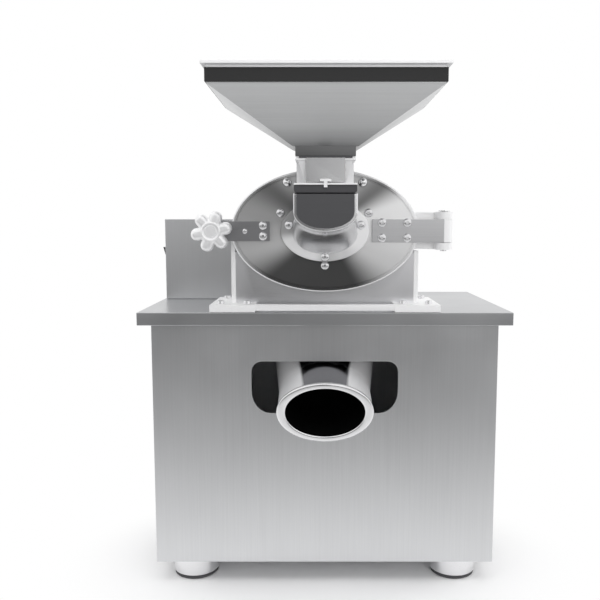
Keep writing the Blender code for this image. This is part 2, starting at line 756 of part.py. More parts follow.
def belt_guard():
    inner = GUARD_HALF_WIDTH - SHEET
    front = pulley_y - PULLEY_WIDTH / 2 - GUARD_CLEARANCE
    back = pulley_y + PULLEY_WIDTH / 2 + GUARD_CLEARANCE

    def arch(half, low):
        crown = [(u, spindle_z + v) for u, v in circle(half, WIDE)[: WIDE // 2 + 1]]
        return [(half, low), *crown, (-half, low)]

    guard = prism(arch(GUARD_HALF_WIDTH, box_bottom), across_y, front - SHEET, back + SHEET)
    guard = piece("belt_guard", guard, satin_steel, machine)
    shaft_hole = circle(JOURNAL_RADIUS + SHEET)
    cut(
        guard,
        prism(arch(inner, box_bottom - SHEET), across_y, front, back),
        prism(shaft_hole, across_y, front - 2 * SHEET, front + SHEET, z=spindle_z),
    )


# Spindle group: bearing housing on a pedestal, two bearings, shaft, rotor and nut
def spindle():
    barrel = prism(circle(HOUSING_RADIUS), across_y, housing_front, housing_back, z=spindle_z)
    housing = piece("bearing_housing", barrel, cast_steel, machine)
    inset = HOUSING_LENGTH / 5
    post = PEDESTAL_WIDTH / 2
    foot = PEDESTAL_FOOT / 2
    post_low = (-post, housing_front + inset, stand_bottom + FOOT_PLATE / 2)
    post_high = (post, housing_back - inset, spindle_z - HOUSING_RADIUS / 2)
    foot_low = (-foot, housing_front + inset / 2, stand_bottom)
    foot_high = (foot, housing_back - inset / 2, stand_bottom + FOOT_PLATE)
    fuse(housing, box(post_low, post_high), box(foot_low, foot_high))
    bore = circle(JOURNAL_RADIUS + SHEET)
    pocket = circle(BEARING_RADIUS + SEAT)
    cut(
        housing,
        prism(bore, across_y, housing_front - SHEET, housing_back + SHEET, z=spindle_z),
        prism(pocket, across_y, housing_front - SHEET, housing_front + BEARING_WIDTH + SEAT, z=spindle_z),
        prism(pocket, across_y, housing_back - BEARING_WIDTH - SEAT, housing_back + SHEET, z=spindle_z),
    )
    for name, low in (("bearing_front", housing_front), ("bearing_rear", housing_back - BEARING_WIDTH)):
        high = low + BEARING_WIDTH
        inner = JOURNAL_RADIUS + SEAT
        shield = (BEARING_RADIUS + JOURNAL_RADIUS) / 2
        half = (BEARING_RADIUS - JOURNAL_RADIUS) / 4
        dish = BEARING_WIDTH / 12
        profile = [
            (inner, low),
            (shield - half, low),
            (shield - half, low + dish),
            (shield + half, low + dish),
            (shield + half, low),
            (BEARING_RADIUS, low),
            (BEARING_RADIUS, high),
            (shield + half, high),
            (shield + half, high - dish),
            (shield - half, high - dish),
            (shield - half, high),
            (inner, high),
        ]
        piece(name, turned(profile, across_y, SMALL, z=spindle_z), machined_steel, machine)

    disc_back = drum_floor - ROTOR_FLOOR_GAP
    disc_front = disc_back - ROTOR_DISC
    hub_back = drum_floor - ROTOR_FLOOR_GAP / 3
    hub_front = disc_front - ROTOR_HUB * 0.8
    nut_front = hub_front - SEAT - SHAFT_END_RADIUS
    tip = nut_front - SHEET
    shoulder_front = housing_front - SHEET
    shoulder_back = housing_back + SHEET
    shaft_back = pulley_y + PULLEY_WIDTH / 2 + SHEET
    profile = [
        (0, tip),
        (SHAFT_END_RADIUS, tip),
        (SHAFT_END_RADIUS, shoulder_front),
        (JOURNAL_RADIUS, shoulder_front),
        (JOURNAL_RADIUS, shoulder_back),
        (SHAFT_END_RADIUS, shoulder_back),
        (SHAFT_END_RADIUS, shaft_back),
        (0, shaft_back),
    ]
    piece("spindle", turned(profile, across_y, z=spindle_z), machined_steel, spindle_pivot)

    bore = SHAFT_END_RADIUS + SEAT
    profile = [
        (bore, hub_back),
        (ROTOR_HUB, hub_back),
        (ROTOR_HUB, disc_back),
        (ROTOR_RADIUS, disc_back),
        (ROTOR_RADIUS, disc_front),
        (ROTOR_HUB, disc_front),
        (ROTOR_HUB, hub_front),
        (bore, hub_front),
    ]
    rotor = turned(profile, across_y, WIDE, z=spindle_z)
    rotor = piece("hammer_rotor", rotor, machined_steel, spindle_pivot)
    hammer_front = door_back + SPIGOT_DEPTH + SEAT + STATOR_PLATE + STATOR_RIB + GRINDING_GAP
    hammer_outside = ROTOR_RADIUS - SHEET / 2
    low = (hammer_outside - HAMMER_DEPTH, hammer_front, -HAMMER_WIDTH / 2)
    high = (hammer_outside, disc_front + ROTOR_DISC / 2, HAMMER_WIDTH / 2)
    fuse(rotor, spokes(HAMMERS, low, high, spindle_z))
    nut = circle(SHAFT_END_RADIUS * 1.7, 6)
    nut = prism(nut, across_y, nut_front, hub_front - SEAT, z=spindle_z)
    nut = piece("rotor_nut", nut, machined_steel, spindle_pivot)
    cut(nut, prism(circle(bore), across_y, nut_front - SHEET, hub_front + SHEET, z=spindle_z))


# Drum: an oval cup with the spindle hole in its back and the discharge hole in its floor
def drum():
    outer = oval(drum_half_width, drum_half_height)
    inner = oval(drum_half_width - DRUM_WALL, drum_half_height - DRUM_WALL)
    rings = [
        across_y(outer, drum_back, z=spindle_z),
        across_y(outer, drum_front, z=spindle_z),
        across_y(inner, drum_front, z=spindle_z),
        across_y(inner, drum_floor, z=spindle_z),
    ]
    cup = piece("drum", loft(rings), cast_steel, machine)
    hole_x = THROAT_HALF_WIDTH - SHEET
    hole_y = THROAT_HALF_DEPTH - SHEET
    low = (-hole_x, throat_y - hole_y, drum_bottom - DRUM_WALL)
    high = (hole_x, throat_y + hole_y, spindle_z - drum_half_height / 2)
    bore = circle(JOURNAL_RADIUS + SHEET)
    cut(
        cup,
        box(low, high),
        prism(bore, across_y, drum_floor - SHEET, drum_back + SHEET, z=spindle_z),
    )

    sieve_front = door_back + SPIGOT_DEPTH + SEAT
    sieve_back = drum_floor - SEAT
    inside = SIEVE_RADIUS - SHEET
    profile = [
        (inside, sieve_front),
        (SIEVE_RADIUS, sieve_front),
        (SIEVE_RADIUS, sieve_back),
        (inside, sieve_back),
    ]
    ring = turned(profile, across_y, WIDE, z=spindle_z)
    piece("sieve_ring", ring, polished_steel, machine)


# Stand: two foot pads, a front tie bar, two uprights and a saddle plate cut to the drum
def stand():
    pad_inside = STAND_HALF_WIDTH - STAND_PAD_WIDTH
    pad_top = stand_bottom + STAND_PAD_HEIGHT
    pad_back = stand_front + STAND_PAD_DEPTH
    left_low = (-STAND_HALF_WIDTH, stand_front, stand_bottom)
    left_high = (-pad_inside, pad_back, pad_top)
    base = piece("chamber_stand", box(left_low, left_high), polished_steel, machine)

    bar_end = pad_inside + WELD
    bar_low = (-bar_end, stand_front + 2 * SETBACK, stand_bottom + STAND_BAR_RAISE)
    bar_high = (bar_end, stand_front + STAND_BAR_DEPTH, bar_low[2] + STAND_BAR_HEIGHT)
    upright_outside = upright_inside + UPRIGHT
    upright_back = pad_back - UPRIGHT_SETBACK
    upright_low = pad_top - WELD
    left_top = spindle_z - LATCH_UPRIGHT_DROP
    right_top = spindle_z - HINGE_UPRIGHT_DROP
    saddle_back = saddle_front + UPRIGHT
    saddle_end = upright_inside + WELD
    saddle_low = (-saddle_end, saddle_front + SETBACK, stand_bottom + 3 * SETBACK)
    saddle_high = (saddle_end, saddle_back, right_top - 5 * SETBACK)
    fuse(
        base,
        box((pad_inside, stand_front, stand_bottom), (STAND_HALF_WIDTH, pad_back, pad_top)),
        box(bar_low, bar_high),
        box((-upright_outside, saddle_front, upright_low), (-upright_inside, upright_back, left_top)),
        box((upright_inside, saddle_front, upright_low), (upright_outside, upright_back, right_top)),
        box(saddle_low, saddle_high),
    )
    seat = oval(drum_half_width + SEAT, drum_half_height + SEAT)
    cut(base, prism(seat, across_y, saddle_front - UPRIGHT, saddle_back + UPRIGHT, z=spindle_z))


# Discharge: a duct from the drum through the table that widens and bends out to the front
def discharge():
    end_lean = math.pi / 2 - SPOUT_SLOPE
    bend_end_y = throat_y - SPOUT_BEND * (1 - math.cos(end_lean))
    mouth_y = cabinet_front - SPOUT_REACH
    rise = (bend_end_y - mouth_y) * math.tan(SPOUT_SLOPE)
    bend_top = SPOUT_CENTRE_HEIGHT + rise + SPOUT_BEND * math.sin(end_lean)
    rim_y = mouth_y + RIM_LENGTH * math.cos(SPOUT_SLOPE)
    rim_z = SPOUT_CENTRE_HEIGHT + RIM_LENGTH * math.sin(SPOUT_SLOPE)

    def ring(y, z, lean, half_width, half_depth, squareness=2):
        """A section of the duct, leaning from level (0) towards upright (a quarter turn)."""
        points = superoval(half_width, half_depth, squareness, DUCT)
        return [(u, y + v * math.cos(lean), z - v * math.sin(lean)) for u, v in points]

    def sections(inset):
        throat = (THROAT_HALF_WIDTH - inset, THROAT_HALF_DEPTH - inset)
        half_width, half_height = DUCT_HALF_WIDTH - inset, SPOUT_HALF_HEIGHT - inset
        rings = [
            ring(throat_y, drum_bottom - SEAT, 0, *throat, 8),
            ring(throat_y, table_skin - SPOUT_WIDENING, 0, *throat, 8),
            ring(throat_y, bend_top + SPOUT_WIDENING, 0, half_width, half_height, 2.2),
        ]
        for i in range(6):
            lean = end_lean * i / 5
            y = throat_y - SPOUT_BEND * (1 - math.cos(lean))
            z = bend_top - SPOUT_BEND * math.sin(lean)
            narrowing = (DUCT_HALF_WIDTH - SPOUT_HALF_WIDTH) * i / 5
            rings.append(ring(y, z, lean, half_width - narrowing, half_height))
        rings.append(ring(rim_y, rim_z, end_lean, SPOUT_HALF_WIDTH - inset, half_height))
        return rings

    duct = loft(sections(0) + sections(SHEET)[::-1], joined=True)
    piece("discharge_chute", duct, polished_steel, machine)

    ahead = Vector((0, -math.sin(end_lean), -math.cos(end_lean)))
    rolled = ((0, 0.10), (0, 0.75), (0.15, 1), (0.75, 1), (1, 0.70), (1, 0.25), (0.85, 0), (0.12, 0))
    rings = []
    for along, proud in rolled:
        grow = RIM_PROUD - RIM_WIDTH * (1 - proud)
        shrink = SPOUT_HALF_HEIGHT / SPOUT_HALF_WIDTH if grow < 0 else 1
        step = ahead * (SEAT + RIM_LENGTH * along)
        half_width = SPOUT_HALF_WIDTH + grow
        half_height = SPOUT_HALF_HEIGHT + grow * shrink
        rings.append(ring(rim_y + step.y, rim_z + step.z, end_lean, half_width, half_height))
    piece("spout_rim", loft(rings, joined=True), polished_steel, machine)


# Door: an oval cast disc with a turned groove, a spigot that enters the drum and a feed hole
def door():
    def ring(inset, y):
        return across_y(oval(DOOR_HALF_WIDTH - inset, DOOR_HALF_HEIGHT - inset), y, z=spindle_z)

    spigot = DOOR_OVERLAP + DRUM_WALL + SPIGOT_PLAY
    rings = [
        ring(spigot, door_back + SPIGOT_DEPTH),
        ring(spigot, door_back),
        ring(0, door_back),
        ring(0, door_front + DOOR_CHAMFER),
        ring(DOOR_CHAMFER, door_front),
        ring(GROOVE_INSET, door_front),
        ring(GROOVE_INSET, door_front + GROOVE_DEPTH),
        ring(GROOVE_INSET + GROOVE_WIDTH, door_front + GROOVE_DEPTH),
        ring(GROOVE_INSET + GROOVE_WIDTH, door_front),
    ]
    disc = piece("door", loft(rings), polished_steel, door_pivot)
    hole = oval(INLET_HOLE_HALF_WIDTH, INLET_HOLE_HALF_HEIGHT, ROUND)
    cut(disc, prism(hole, across_y, door_front - SHEET, door_back + SPIGOT_DEPTH + SHEET, z=spindle_z))

    low = door_back + SPIGOT_DEPTH + SEAT
    high = low + STATOR_PLATE
    profile = [(STATOR_BORE, low), (STATOR_RADIUS, low), (STATOR_RADIUS, high), (STATOR_BORE, high)]
    plate = turned(profile, across_y, WIDE, z=spindle_z)
    plate = piece("stator_disc", plate, machined_steel, door_pivot)
    rib_low = (STATOR_BORE + SHEET, high - SHEET, -SHEET)
    rib_high = (STATOR_RADIUS - SHEET, high + STATOR_RIB, SHEET)
    fuse(plate, spokes(STATOR_RIBS, rib_low, rib_high, spindle_z))


# Inlet: an oval flange on the door, a scoop-shaped casting, its front plate, gasket and neck
def inlet():
    def flange_ring(inset, y):
        outline = oval(INLET_FLANGE_HALF_WIDTH - inset, INLET_FLANGE_HALF_HEIGHT - inset)
        return across_y(outline, y, z=spindle_z)

    flange_back = inlet_flange_front + INLET_FLANGE
    rings = [
        flange_ring(0, flange_back),
        flange_ring(0, inlet_flange_front + SHEET),
        flange_ring(SHEET, inlet_flange_front),
    ]
    flange = piece("inlet_flange", loft(rings), polished_steel, door_pivot)
    hole = oval(INLET_HOLE_HALF_WIDTH, INLET_HOLE_HALF_HEIGHT, ROUND)
    cut(flange, prism(hole, across_y, inlet_flange_front - SHEET, flange_back + SHEET, z=spindle_z))

    def scoop(t, inset, root_half_width):
        """The section at t, from the front face (0) to the door (1), where it flares."""
        flare = t**2
        half_width = CHUTE_HALF_WIDTH - inset + (root_half_width - CHUTE_HALF_WIDTH + inset) * flare
        arc = spindle_z + CHUTE_ARC + (CHUTE_ROOT_ARC - CHUTE_ARC) * flare
        arc_height = CHUTE_ARC_HEIGHT + (CHUTE_ROOT_ARC_HEIGHT - CHUTE_ARC_HEIGHT) * flare - inset
        return half_width, arc, arc_height

    def sections(inset, root_half_width, top, start, end):
        rings = []
        for i in range(7):
            t = i / 6
            half_width, arc, arc_height = scoop(t, inset, root_half_width)
            outline = u_outline(half_width, top, arc, arc_height)
            rings.append(across_y(outline, start + (end - start) * t))
        return rings

    outside = sections(0, CHUTE_ROOT_HALF_WIDTH, chute_top, chute_front, chute_back)
    casting = piece("inlet_chute", loft(outside), polished_steel, door_pivot)
    inner_front = chute_front + CHUTE_WALL
    inside = sections(CHUTE_WALL, INLET_HOLE_HALF_WIDTH, chute_top + SHEET, inner_front, chute_back)
    inside.append([(x, chute_back + SHEET, z) for x, _, z in inside[-1]])
    cut(casting, loft(inside))

    cover_back = chute_front - SEAT
    half_width, arc, arc_height = scoop(0, COVER_MARGIN, CHUTE_ROOT_HALF_WIDTH)
    outline = u_outline(half_width, chute_top - SHEET / 2, arc, arc_height)
    cover = prism(outline, across_y, cover_back - COVER_SHEET, cover_back)
    piece("inlet_front_plate", cover, dark_plate, door_pivot)

    gasket_front = chute_front - GASKET_OVERHANG
    gasket_back = chute_back - GASKET_REAR_GAP
    half_depth = (gasket_back - gasket_front) / 2
    centre = (gasket_front + gasket_back) / 2
    outline = [(GASKET_HALF_WIDTH, gasket_top), (-GASKET_HALF_WIDTH, gasket_top)]
    for side, turn in ((-1, 2), (1, 3)):
        for i in range(4):
            a = math.pi / 2 * (turn + i / 3)
            across = side * (GASKET_HALF_WIDTH - GASKET_CORNER) + GASKET_CORNER * math.cos(a)
            outline.append((across, gasket_bottom + GASKET_CORNER * (1 + math.sin(a))))
    gasket = prism(outline, across_y, gasket_front, gasket_back)
    gasket = piece("inlet_gasket", gasket, black_rubber, door_pivot)
    hole_x = CHUTE_HALF_WIDTH - 2 * CHUTE_WALL
    hole = rounded_rectangle(hole_x, half_depth - 2 * CHUTE_WALL, GASKET_CORNER)
    cut(gasket, prism(hole, across_z, gasket_bottom - SHEET, gasket_top + SHEET, y=centre))

    neck_and_gate(gasket_front, gasket_back)


def neck_and_gate(gasket_front, gasket_back):
    """The square sleeve between the inlet and the hopper, and the slide that shuts it."""
    def square(half_width, half_depth, z):
        outline = rectangle(-half_width, half_width, -half_depth, half_depth)
        return across_z(outline, z, y=hopper_y)

    flange_top = neck_bottom + FLANGE_SHEET
    top_plate = neck_top - FLANGE_MARGIN
    sleeve = [
        square(NECK_HALF_WIDTH, NECK_HALF_DEPTH, flange_top - SHEET / 2),
        square(NECK_TOP_HALF_WIDTH, NECK_TOP_HALF_DEPTH, neck_top - 3 * SETBACK),
    ]
    neck = piece("neck", loft(sleeve), satin_steel, door_pivot)
    flange_front = gasket_front - FLANGE_MARGIN
    top_half_depth = HOPPER_FLANGE_HALF_DEPTH - FLANGE_MARGIN
    top_front, top_back = hopper_y - top_half_depth, hopper_y + top_half_depth
    flange_low = (-GASKET_HALF_WIDTH, flange_front, neck_bottom)
    flange_high = (GASKET_HALF_WIDTH, gasket_back + FLANGE_MARGIN, flange_top)
    plate_low = (-HOPPER_FLANGE_HALF_WIDTH, top_front, top_plate)
    plate_high = (HOPPER_FLANGE_HALF_WIDTH, top_back, neck_top)
    back = hopper_y + NECK_HALF_DEPTH - SHEET / 2
    back_low = (-NECK_BACK_HALF_WIDTH, back, flange_top - SHEET / 2)
    back_high = (NECK_BACK_HALF_WIDTH, back + SHEET, neck_top - 3 * SETBACK)
    rail_inside = HOPPER_FLANGE_HALF_WIDTH - RAIL
    rail_outside = HOPPER_FLANGE_HALF_WIDTH - SETBACK
    rail_front, rail_back = top_front + 2 * SETBACK, top_back - 2 * SETBACK
    rail_low, rail_top = neck_top - SHEET / 2, hopper_bottom - SEAT
    fuse(
        neck,
        box(flange_low, flange_high),
        box(plate_low, plate_high),
        box(back_low, back_high),
        box((rail_inside, rail_front, rail_low), (rail_outside, rail_back, rail_top)),
        box((-rail_outside, rail_front, rail_low), (-rail_inside, rail_back, rail_top)),
    )
    low_x, low_y = NECK_HALF_WIDTH - SHEET, NECK_HALF_DEPTH - SHEET
    high_x, high_y = NECK_TOP_HALF_WIDTH - SHEET, NECK_TOP_HALF_DEPTH - SHEET
    bore = [
        square(low_x, low_y, neck_bottom - SHEET),
        square(low_x, low_y, flange_top),
        square(high_x, high_y, top_plate),
        square(high_x, high_y, neck_top + SHEET / 2),
    ]
    cut(neck, loft(bore))

    blade_x = rail_inside - RUNNING
    apron_back = top_front - RUNNING
    apron_front = apron_back - GATE_SHEET
    apron_bottom = flange_top + RUNNING * 3
    blade = box((-blade_x, apron_front, gate_bottom), (blade_x, top_back, gate_top))
    gate = piece("feed_gate", blade, polished_steel, gate_pivot)
    apron_low = (-GATE_APRON_HALF_WIDTH, apron_front + SETBACK / 2, apron_bottom)
    apron_high = (GATE_APRON_HALF_WIDTH, apron_back, gate_top - SETBACK)
    tab_front = flange_front - GATE_SHEET - RUNNING
    tab_top = apron_bottom + GATE_TAB_HEIGHT
    tab_low = (-GATE_TAB, tab_front, apron_bottom + SETBACK)
    tab_high = (GATE_TAB, apron_back - SETBACK, tab_top)
    stem_low = (-GATE_TAB / 3, tab_front + SETBACK / 2, apron_bottom - GATE_STEM_DROP)
    stem_high = (GATE_TAB / 3, flange_front - RUNNING, tab_top - SETBACK)
    fuse(gate, box(apron_low, apron_high), box(tab_low, tab_high), box(stem_low, stem_high))


# Hopper: a square funnel with an upright collar, a rolled lip, a bottom flange and a trim band
def hopper():
    def ring(half_width, half_depth, z, inset=0.0):
        half_width, half_depth = half_width - inset, half_depth - inset
        return across_z(rectangle(-half_width, half_width, -half_depth, half_depth), z, y=hopper_y)

    rings = [
        ring(HOPPER_FLANGE_HALF_WIDTH, HOPPER_FLANGE_HALF_DEPTH, hopper_bottom),
        ring(HOPPER_FLANGE_HALF_WIDTH, HOPPER_FLANGE_HALF_DEPTH, funnel_foot),
        ring(FUNNEL_FOOT_HALF_WIDTH, HOPPER_FLANGE_HALF_DEPTH, funnel_foot + FOLD),
        ring(COLLAR_HALF_WIDTH, COLLAR_HALF_DEPTH, collar_bottom),
        ring(COLLAR_HALF_WIDTH, COLLAR_HALF_DEPTH, collar_top),
        ring(lip_half_width, lip_half_depth, collar_top + FOLD),
        ring(lip_half_width, lip_half_depth, hopper_top),
        ring(COLLAR_HALF_WIDTH, COLLAR_HALF_DEPTH, hopper_top, SHEET),
        ring(COLLAR_HALF_WIDTH, COLLAR_HALF_DEPTH, collar_bottom + 2 * FOLD, SHEET),
        ring(FUNNEL_FOOT_HALF_WIDTH, HOPPER_FLANGE_HALF_DEPTH, funnel_foot + SHEET, 2 * SHEET),
        ring(FUNNEL_FOOT_HALF_WIDTH, HOPPER_FLANGE_HALF_DEPTH, hopper_bottom, 3 * SHEET),
    ]
    piece("hopper", loft(rings, joined=True), satin_steel, door_pivot)

    low, high = collar_bottom + BAND, collar_top - SEAT
    rings = [
        ring(COLLAR_HALF_WIDTH, COLLAR_HALF_DEPTH, low, -SEAT),
        ring(COLLAR_HALF_WIDTH, COLLAR_HALF_DEPTH, low, -SEAT - BAND),
        ring(COLLAR_HALF_WIDTH, COLLAR_HALF_DEPTH, high, -SEAT - BAND),
        ring(COLLAR_HALF_WIDTH, COLLAR_HALF_DEPTH, high, -SEAT),
    ]
    piece("hopper_band", loft(rings, joined=True), black_rubber, door_pivot)


# Latch: a plate on the door, a star knob on a stud, and a slotted lug on the stand
def latch():
    latch_z = spindle_z - LATCH_BELOW_CENTRE
    low = (-LATCH_REACH - LATCH_OUTER_MARGIN, plate_front, latch_z - LATCH_HALF_HEIGHT)
    high = (-LATCH_INNER_END, plate_back, latch_z + LATCH_HALF_HEIGHT)
    plate = piece("latch_plate", box(low, high), dark_plate, door_pivot)
    centre = {"x": -LATCH_REACH, "z": latch_z}
    hole = circle(STUD_RADIUS + RUNNING)
    cut(plate, prism(hole, across_y, plate_front - SHEET, plate_back + SHEET, **centre))

    def star(lobe_radius):
        """Round lobes on a circle, with narrow flats between them."""
        points = []
        for lobe in range(KNOB_LOBES):
            middle = KNOB_TURN + 2 * math.pi * lobe / KNOB_LOBES
            for i in range(7):
                a = middle + KNOB_LOBE_SWEEP * (i / 3 - 1)
                across = KNOB_LOBE_REACH * math.cos(middle) + lobe_radius * math.cos(a)
                up = KNOB_LOBE_REACH * math.sin(middle) + lobe_radius * math.sin(a)
                points.append((across, up))
        return points

    back = plate_front - SEAT
    body_back = back - KNOB_NECK
    body_front = body_back - KNOB_THICKNESS
    rings = [
        across_y(star(KNOB_LOBE - KNOB_EDGE / 2), body_back, **centre),
        across_y(star(KNOB_LOBE), body_back - KNOB_EDGE, **centre),
        across_y(star(KNOB_LOBE), body_front + KNOB_EDGE, **centre),
        across_y(star(KNOB_LOBE - KNOB_EDGE / 2), body_front, **centre),
    ]
    knob = piece("star_knob", loft(rings), chrome, knob_pivot)
    tip = plate_back + STUD_TIP
    neck = KNOB_HUB * 0.75
    profile = [
        (0, body_front - SHEET),
        (KNOB_HUB * 0.85, body_front - SHEET),
        (KNOB_HUB, body_front + SHEET),
        (KNOB_HUB, body_back - SHEET),
        (neck, body_back + SHEET),
        (neck, back),
        (STUD_RADIUS, back),
        (STUD_RADIUS, tip),
        (0, tip),
    ]
    fuse(knob, turned(profile, across_y, SMALL, **centre))

    lug_front = plate_back + SEAT
    lug_back = lug_front + LUG_DEPTH
    lug_inside = -(DOOR_HALF_WIDTH + SHEET)
    lug_outside = -LATCH_REACH - LATCH_OUTER_MARGIN
    low_z = spindle_z - LATCH_UPRIGHT_DROP + SEAT
    high_z = low_z + 2 * LUG_HALF_HEIGHT
    lug = box((lug_outside, lug_front, low_z), (lug_inside, lug_back, high_z))
    lug = piece("latch_lug", lug, cast_steel, machine)
    web_front = drum_front + SEAT
    web_low = (lug_inside - SHEET, web_front, low_z + SETBACK)
    web_high = (-drum_half_width - SEAT, lug_back - SETBACK, high_z - SETBACK)
    fuse(lug, box(web_low, web_high))
    slot = STUD_RADIUS + RUNNING
    slot_low = (lug_outside - SHEET, lug_front - SHEET, latch_z - slot)
    slot_high = (-LATCH_REACH + slot, lug_back + SHEET, latch_z + slot)
    cut(lug, box(slot_low, slot_high))


# Hinge: a strap with a barrel on the door, a two-eared bracket on the drum side, and its pin
def hinge():
    strap_low = spindle_z - STRAP_HALF_HEIGHT
    strap_high = spindle_z + STRAP_HALF_HEIGHT
    low = (STRAP_INNER_END, plate_front, strap_low)
    strap = box(low, (PIN_REACH, plate_back, strap_high))
    strap = piece("hinge_strap", strap, dark_plate, door_pivot)
    centre = {"x": PIN_REACH, "y": pin_y}
    profile = [(0, strap_low), (KNUCKLE_RADIUS, strap_low), (KNUCKLE_RADIUS, strap_high), (0, strap_high)]
    fuse(strap, turned(profile, across_z, **centre))
    bore = circle(PIN_RADIUS + RUNNING, SMALL)
    cut(strap, prism(bore, across_z, strap_low - SHEET, strap_high + SHEET, **centre))

    ear_low = strap_low - SEAT - KNUCKLE_HEIGHT
    ear_high = strap_high + SEAT + KNUCKLE_HEIGHT
    back_front = drum_front + SEAT
    back_back = back_front + PLATE * 2
    left = drum_half_width + SEAT
    low = (left, back_front, ear_low + SETBACK)
    high = (left + BRACKET_WIDTH, back_back, ear_high - SETBACK)
    bracket = piece("hinge_bracket", box(low, high), cast_steel, machine)
    for low_z, high_z in ((ear_low, ear_low + KNUCKLE_HEIGHT), (ear_high - KNUCKLE_HEIGHT, ear_high)):
        profile = [(0, low_z), (KNUCKLE_RADIUS, low_z), (KNUCKLE_RADIUS, high_z), (0, high_z)]
        ear = turned(profile, across_z, **centre)
        web_half = KNUCKLE_RADIUS - SETBACK
        web_low = (PIN_REACH - web_half, pin_y, low_z + SETBACK / 2)
        web_high = (PIN_REACH + web_half, back_back - 2 * SETBACK, high_z - SETBACK / 2)
        fuse(bracket, ear, box(web_low, web_high))
    bore = circle(PIN_RADIUS + SEAT, SMALL)
    cut(bracket, prism(bore, across_z, ear_low - SHEET, ear_high + SHEET, **centre))

    head = PIN_RADIUS * 1.6
    head_low = ear_high + SEAT
    profile = [
        (0, ear_low - SHEET),
        (PIN_RADIUS, ear_low - SHEET),
        (PIN_RADIUS, head_low),
        (head, head_low),
        (head, head_low + SHEET),
        (0, head_low + SHEET),
    ]
    piece("hinge_pin", turned(profile, across_z, SMALL, **centre), machined_steel, machine)


# Control box: a five-sided steel box with a screwed rear cover and a rocker switch in its side
def control_box():
    top = box_bottom + BOX_HEIGHT
    shell = box((box_left, box_front, box_bottom), (box_right, box_back, top))
    shell = piece("control_box", shell, satin_steel, machine)
    inner_low = (box_left + SHEET, box_front + SHEET, box_bottom + SHEET)
    inner_high = (box_right - SHEET, box_back + SHEET, top - SHEET)
    reach = math.hypot(rocker_reach, ROCKER_HALF_HEIGHT)
    half = ROCKER_HALF_WIDTH + SEAT
    hole = rectangle(-half, half, -reach - RUNNING, reach + RUNNING)
    cut(
        shell,
        box(inner_low, inner_high),
        prism(hole, across_x, box_left - SHEET, box_left + 2 * SHEET, y=switch_y, z=switch_z),
    )
    cover_low = (box_left, box_back + SEAT, box_bottom)
    cover_high = (box_right, box_back + SEAT + SHEET, top)
    piece("control_box_cover", box(cover_low, cover_high), satin_steel, machine)

    frame_x = ROCKER_HALF_WIDTH + SEAT + BEZEL_FRAME
    frame_z = reach + RUNNING + BEZEL_FRAME
    outer = rectangle(-frame_x, frame_x, -frame_z, frame_z)
    low, high = box_left - SEAT - BEZEL, box_left - SEAT
    place = {"y": switch_y, "z": switch_z}
    rings = [
        across_x(outer, high, **place),
        across_x(outer, low, **place),
        across_x(hole, low, **place),
        across_x(hole, high, **place),
    ]
    piece("switch_bezel", loft(rings, joined=True), black_plastic, machine)

    dip = rocker_reach * 0.7
    profile = [
        (-rocker_reach, -ROCKER_HALF_HEIGHT),
        (-dip, 0),
        (-rocker_reach, ROCKER_HALF_HEIGHT),
        (rocker_reach * 0.6, ROCKER_HALF_HEIGHT * 0.75),
        (rocker_reach * 0.6, -ROCKER_HALF_HEIGHT * 0.75),
    ]
    rings = []
    for y in (-ROCKER_HALF_WIDTH, ROCKER_HALF_WIDTH):
        rings.append([(u, y, v) for u, v in profile])
    rocker = loft(rings)
    place = Matrix.Translation((rocker_axis_x, switch_y, switch_z))
    rocker.transform(place @ Matrix.Rotation(-ROCKER_TILT, 4, "Y"))
    piece("switch_rocker", rocker, black_plastic, rocker_pivot)


cabinet(feet())
motor()
pulley("motor_pulley", MOTOR_PULLEY, MOTOR_SHAFT + SEAT, motor_z, motor_pivot)
pulley("spindle_pulley", SPINDLE_PULLEY, SHAFT_END_RADIUS + SEAT, spindle_z, spindle_pivot)
belts()
belt_guard()
spindle()
drum()
stand()
discharge()
door()
inlet()
hopper()
latch()
hinge()
control_box()
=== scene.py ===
"""A hammer mill for grain and spices on a steel cabinet, dressed around its CAD frame."""

import math

import bmesh
import bpy
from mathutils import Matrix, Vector


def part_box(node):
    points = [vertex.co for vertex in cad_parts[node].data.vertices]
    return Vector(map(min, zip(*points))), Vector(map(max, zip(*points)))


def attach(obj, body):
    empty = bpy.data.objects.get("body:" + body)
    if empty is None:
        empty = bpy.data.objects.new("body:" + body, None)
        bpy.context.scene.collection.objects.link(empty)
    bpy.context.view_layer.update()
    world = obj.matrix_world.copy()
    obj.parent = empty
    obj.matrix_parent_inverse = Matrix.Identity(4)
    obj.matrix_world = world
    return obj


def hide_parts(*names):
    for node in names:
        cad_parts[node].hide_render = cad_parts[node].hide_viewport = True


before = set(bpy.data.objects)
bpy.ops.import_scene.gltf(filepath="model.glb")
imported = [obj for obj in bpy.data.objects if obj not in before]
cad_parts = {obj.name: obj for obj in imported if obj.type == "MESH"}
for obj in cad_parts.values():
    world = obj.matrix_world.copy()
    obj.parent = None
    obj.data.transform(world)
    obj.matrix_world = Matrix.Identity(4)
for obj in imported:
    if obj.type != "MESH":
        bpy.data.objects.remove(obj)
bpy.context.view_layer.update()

# The photographer's camera: a 42 mm lens about a metre in front of the table, level with
# the grinding door and tipped down a little. The picture's centre lies left of the frame's.
CAMERA_LENS = 42.0
CAMERA_SHIFT = -17 / 600
CAMERA_PLACE = (-0.009, -1.0459, 0.521)
CAMERA_DIP = 6.2


def in_scene(name, data):
    """A new object in the scene."""
    made = bpy.data.objects.new(name, data)
    bpy.context.scene.collection.objects.link(made)
    return made


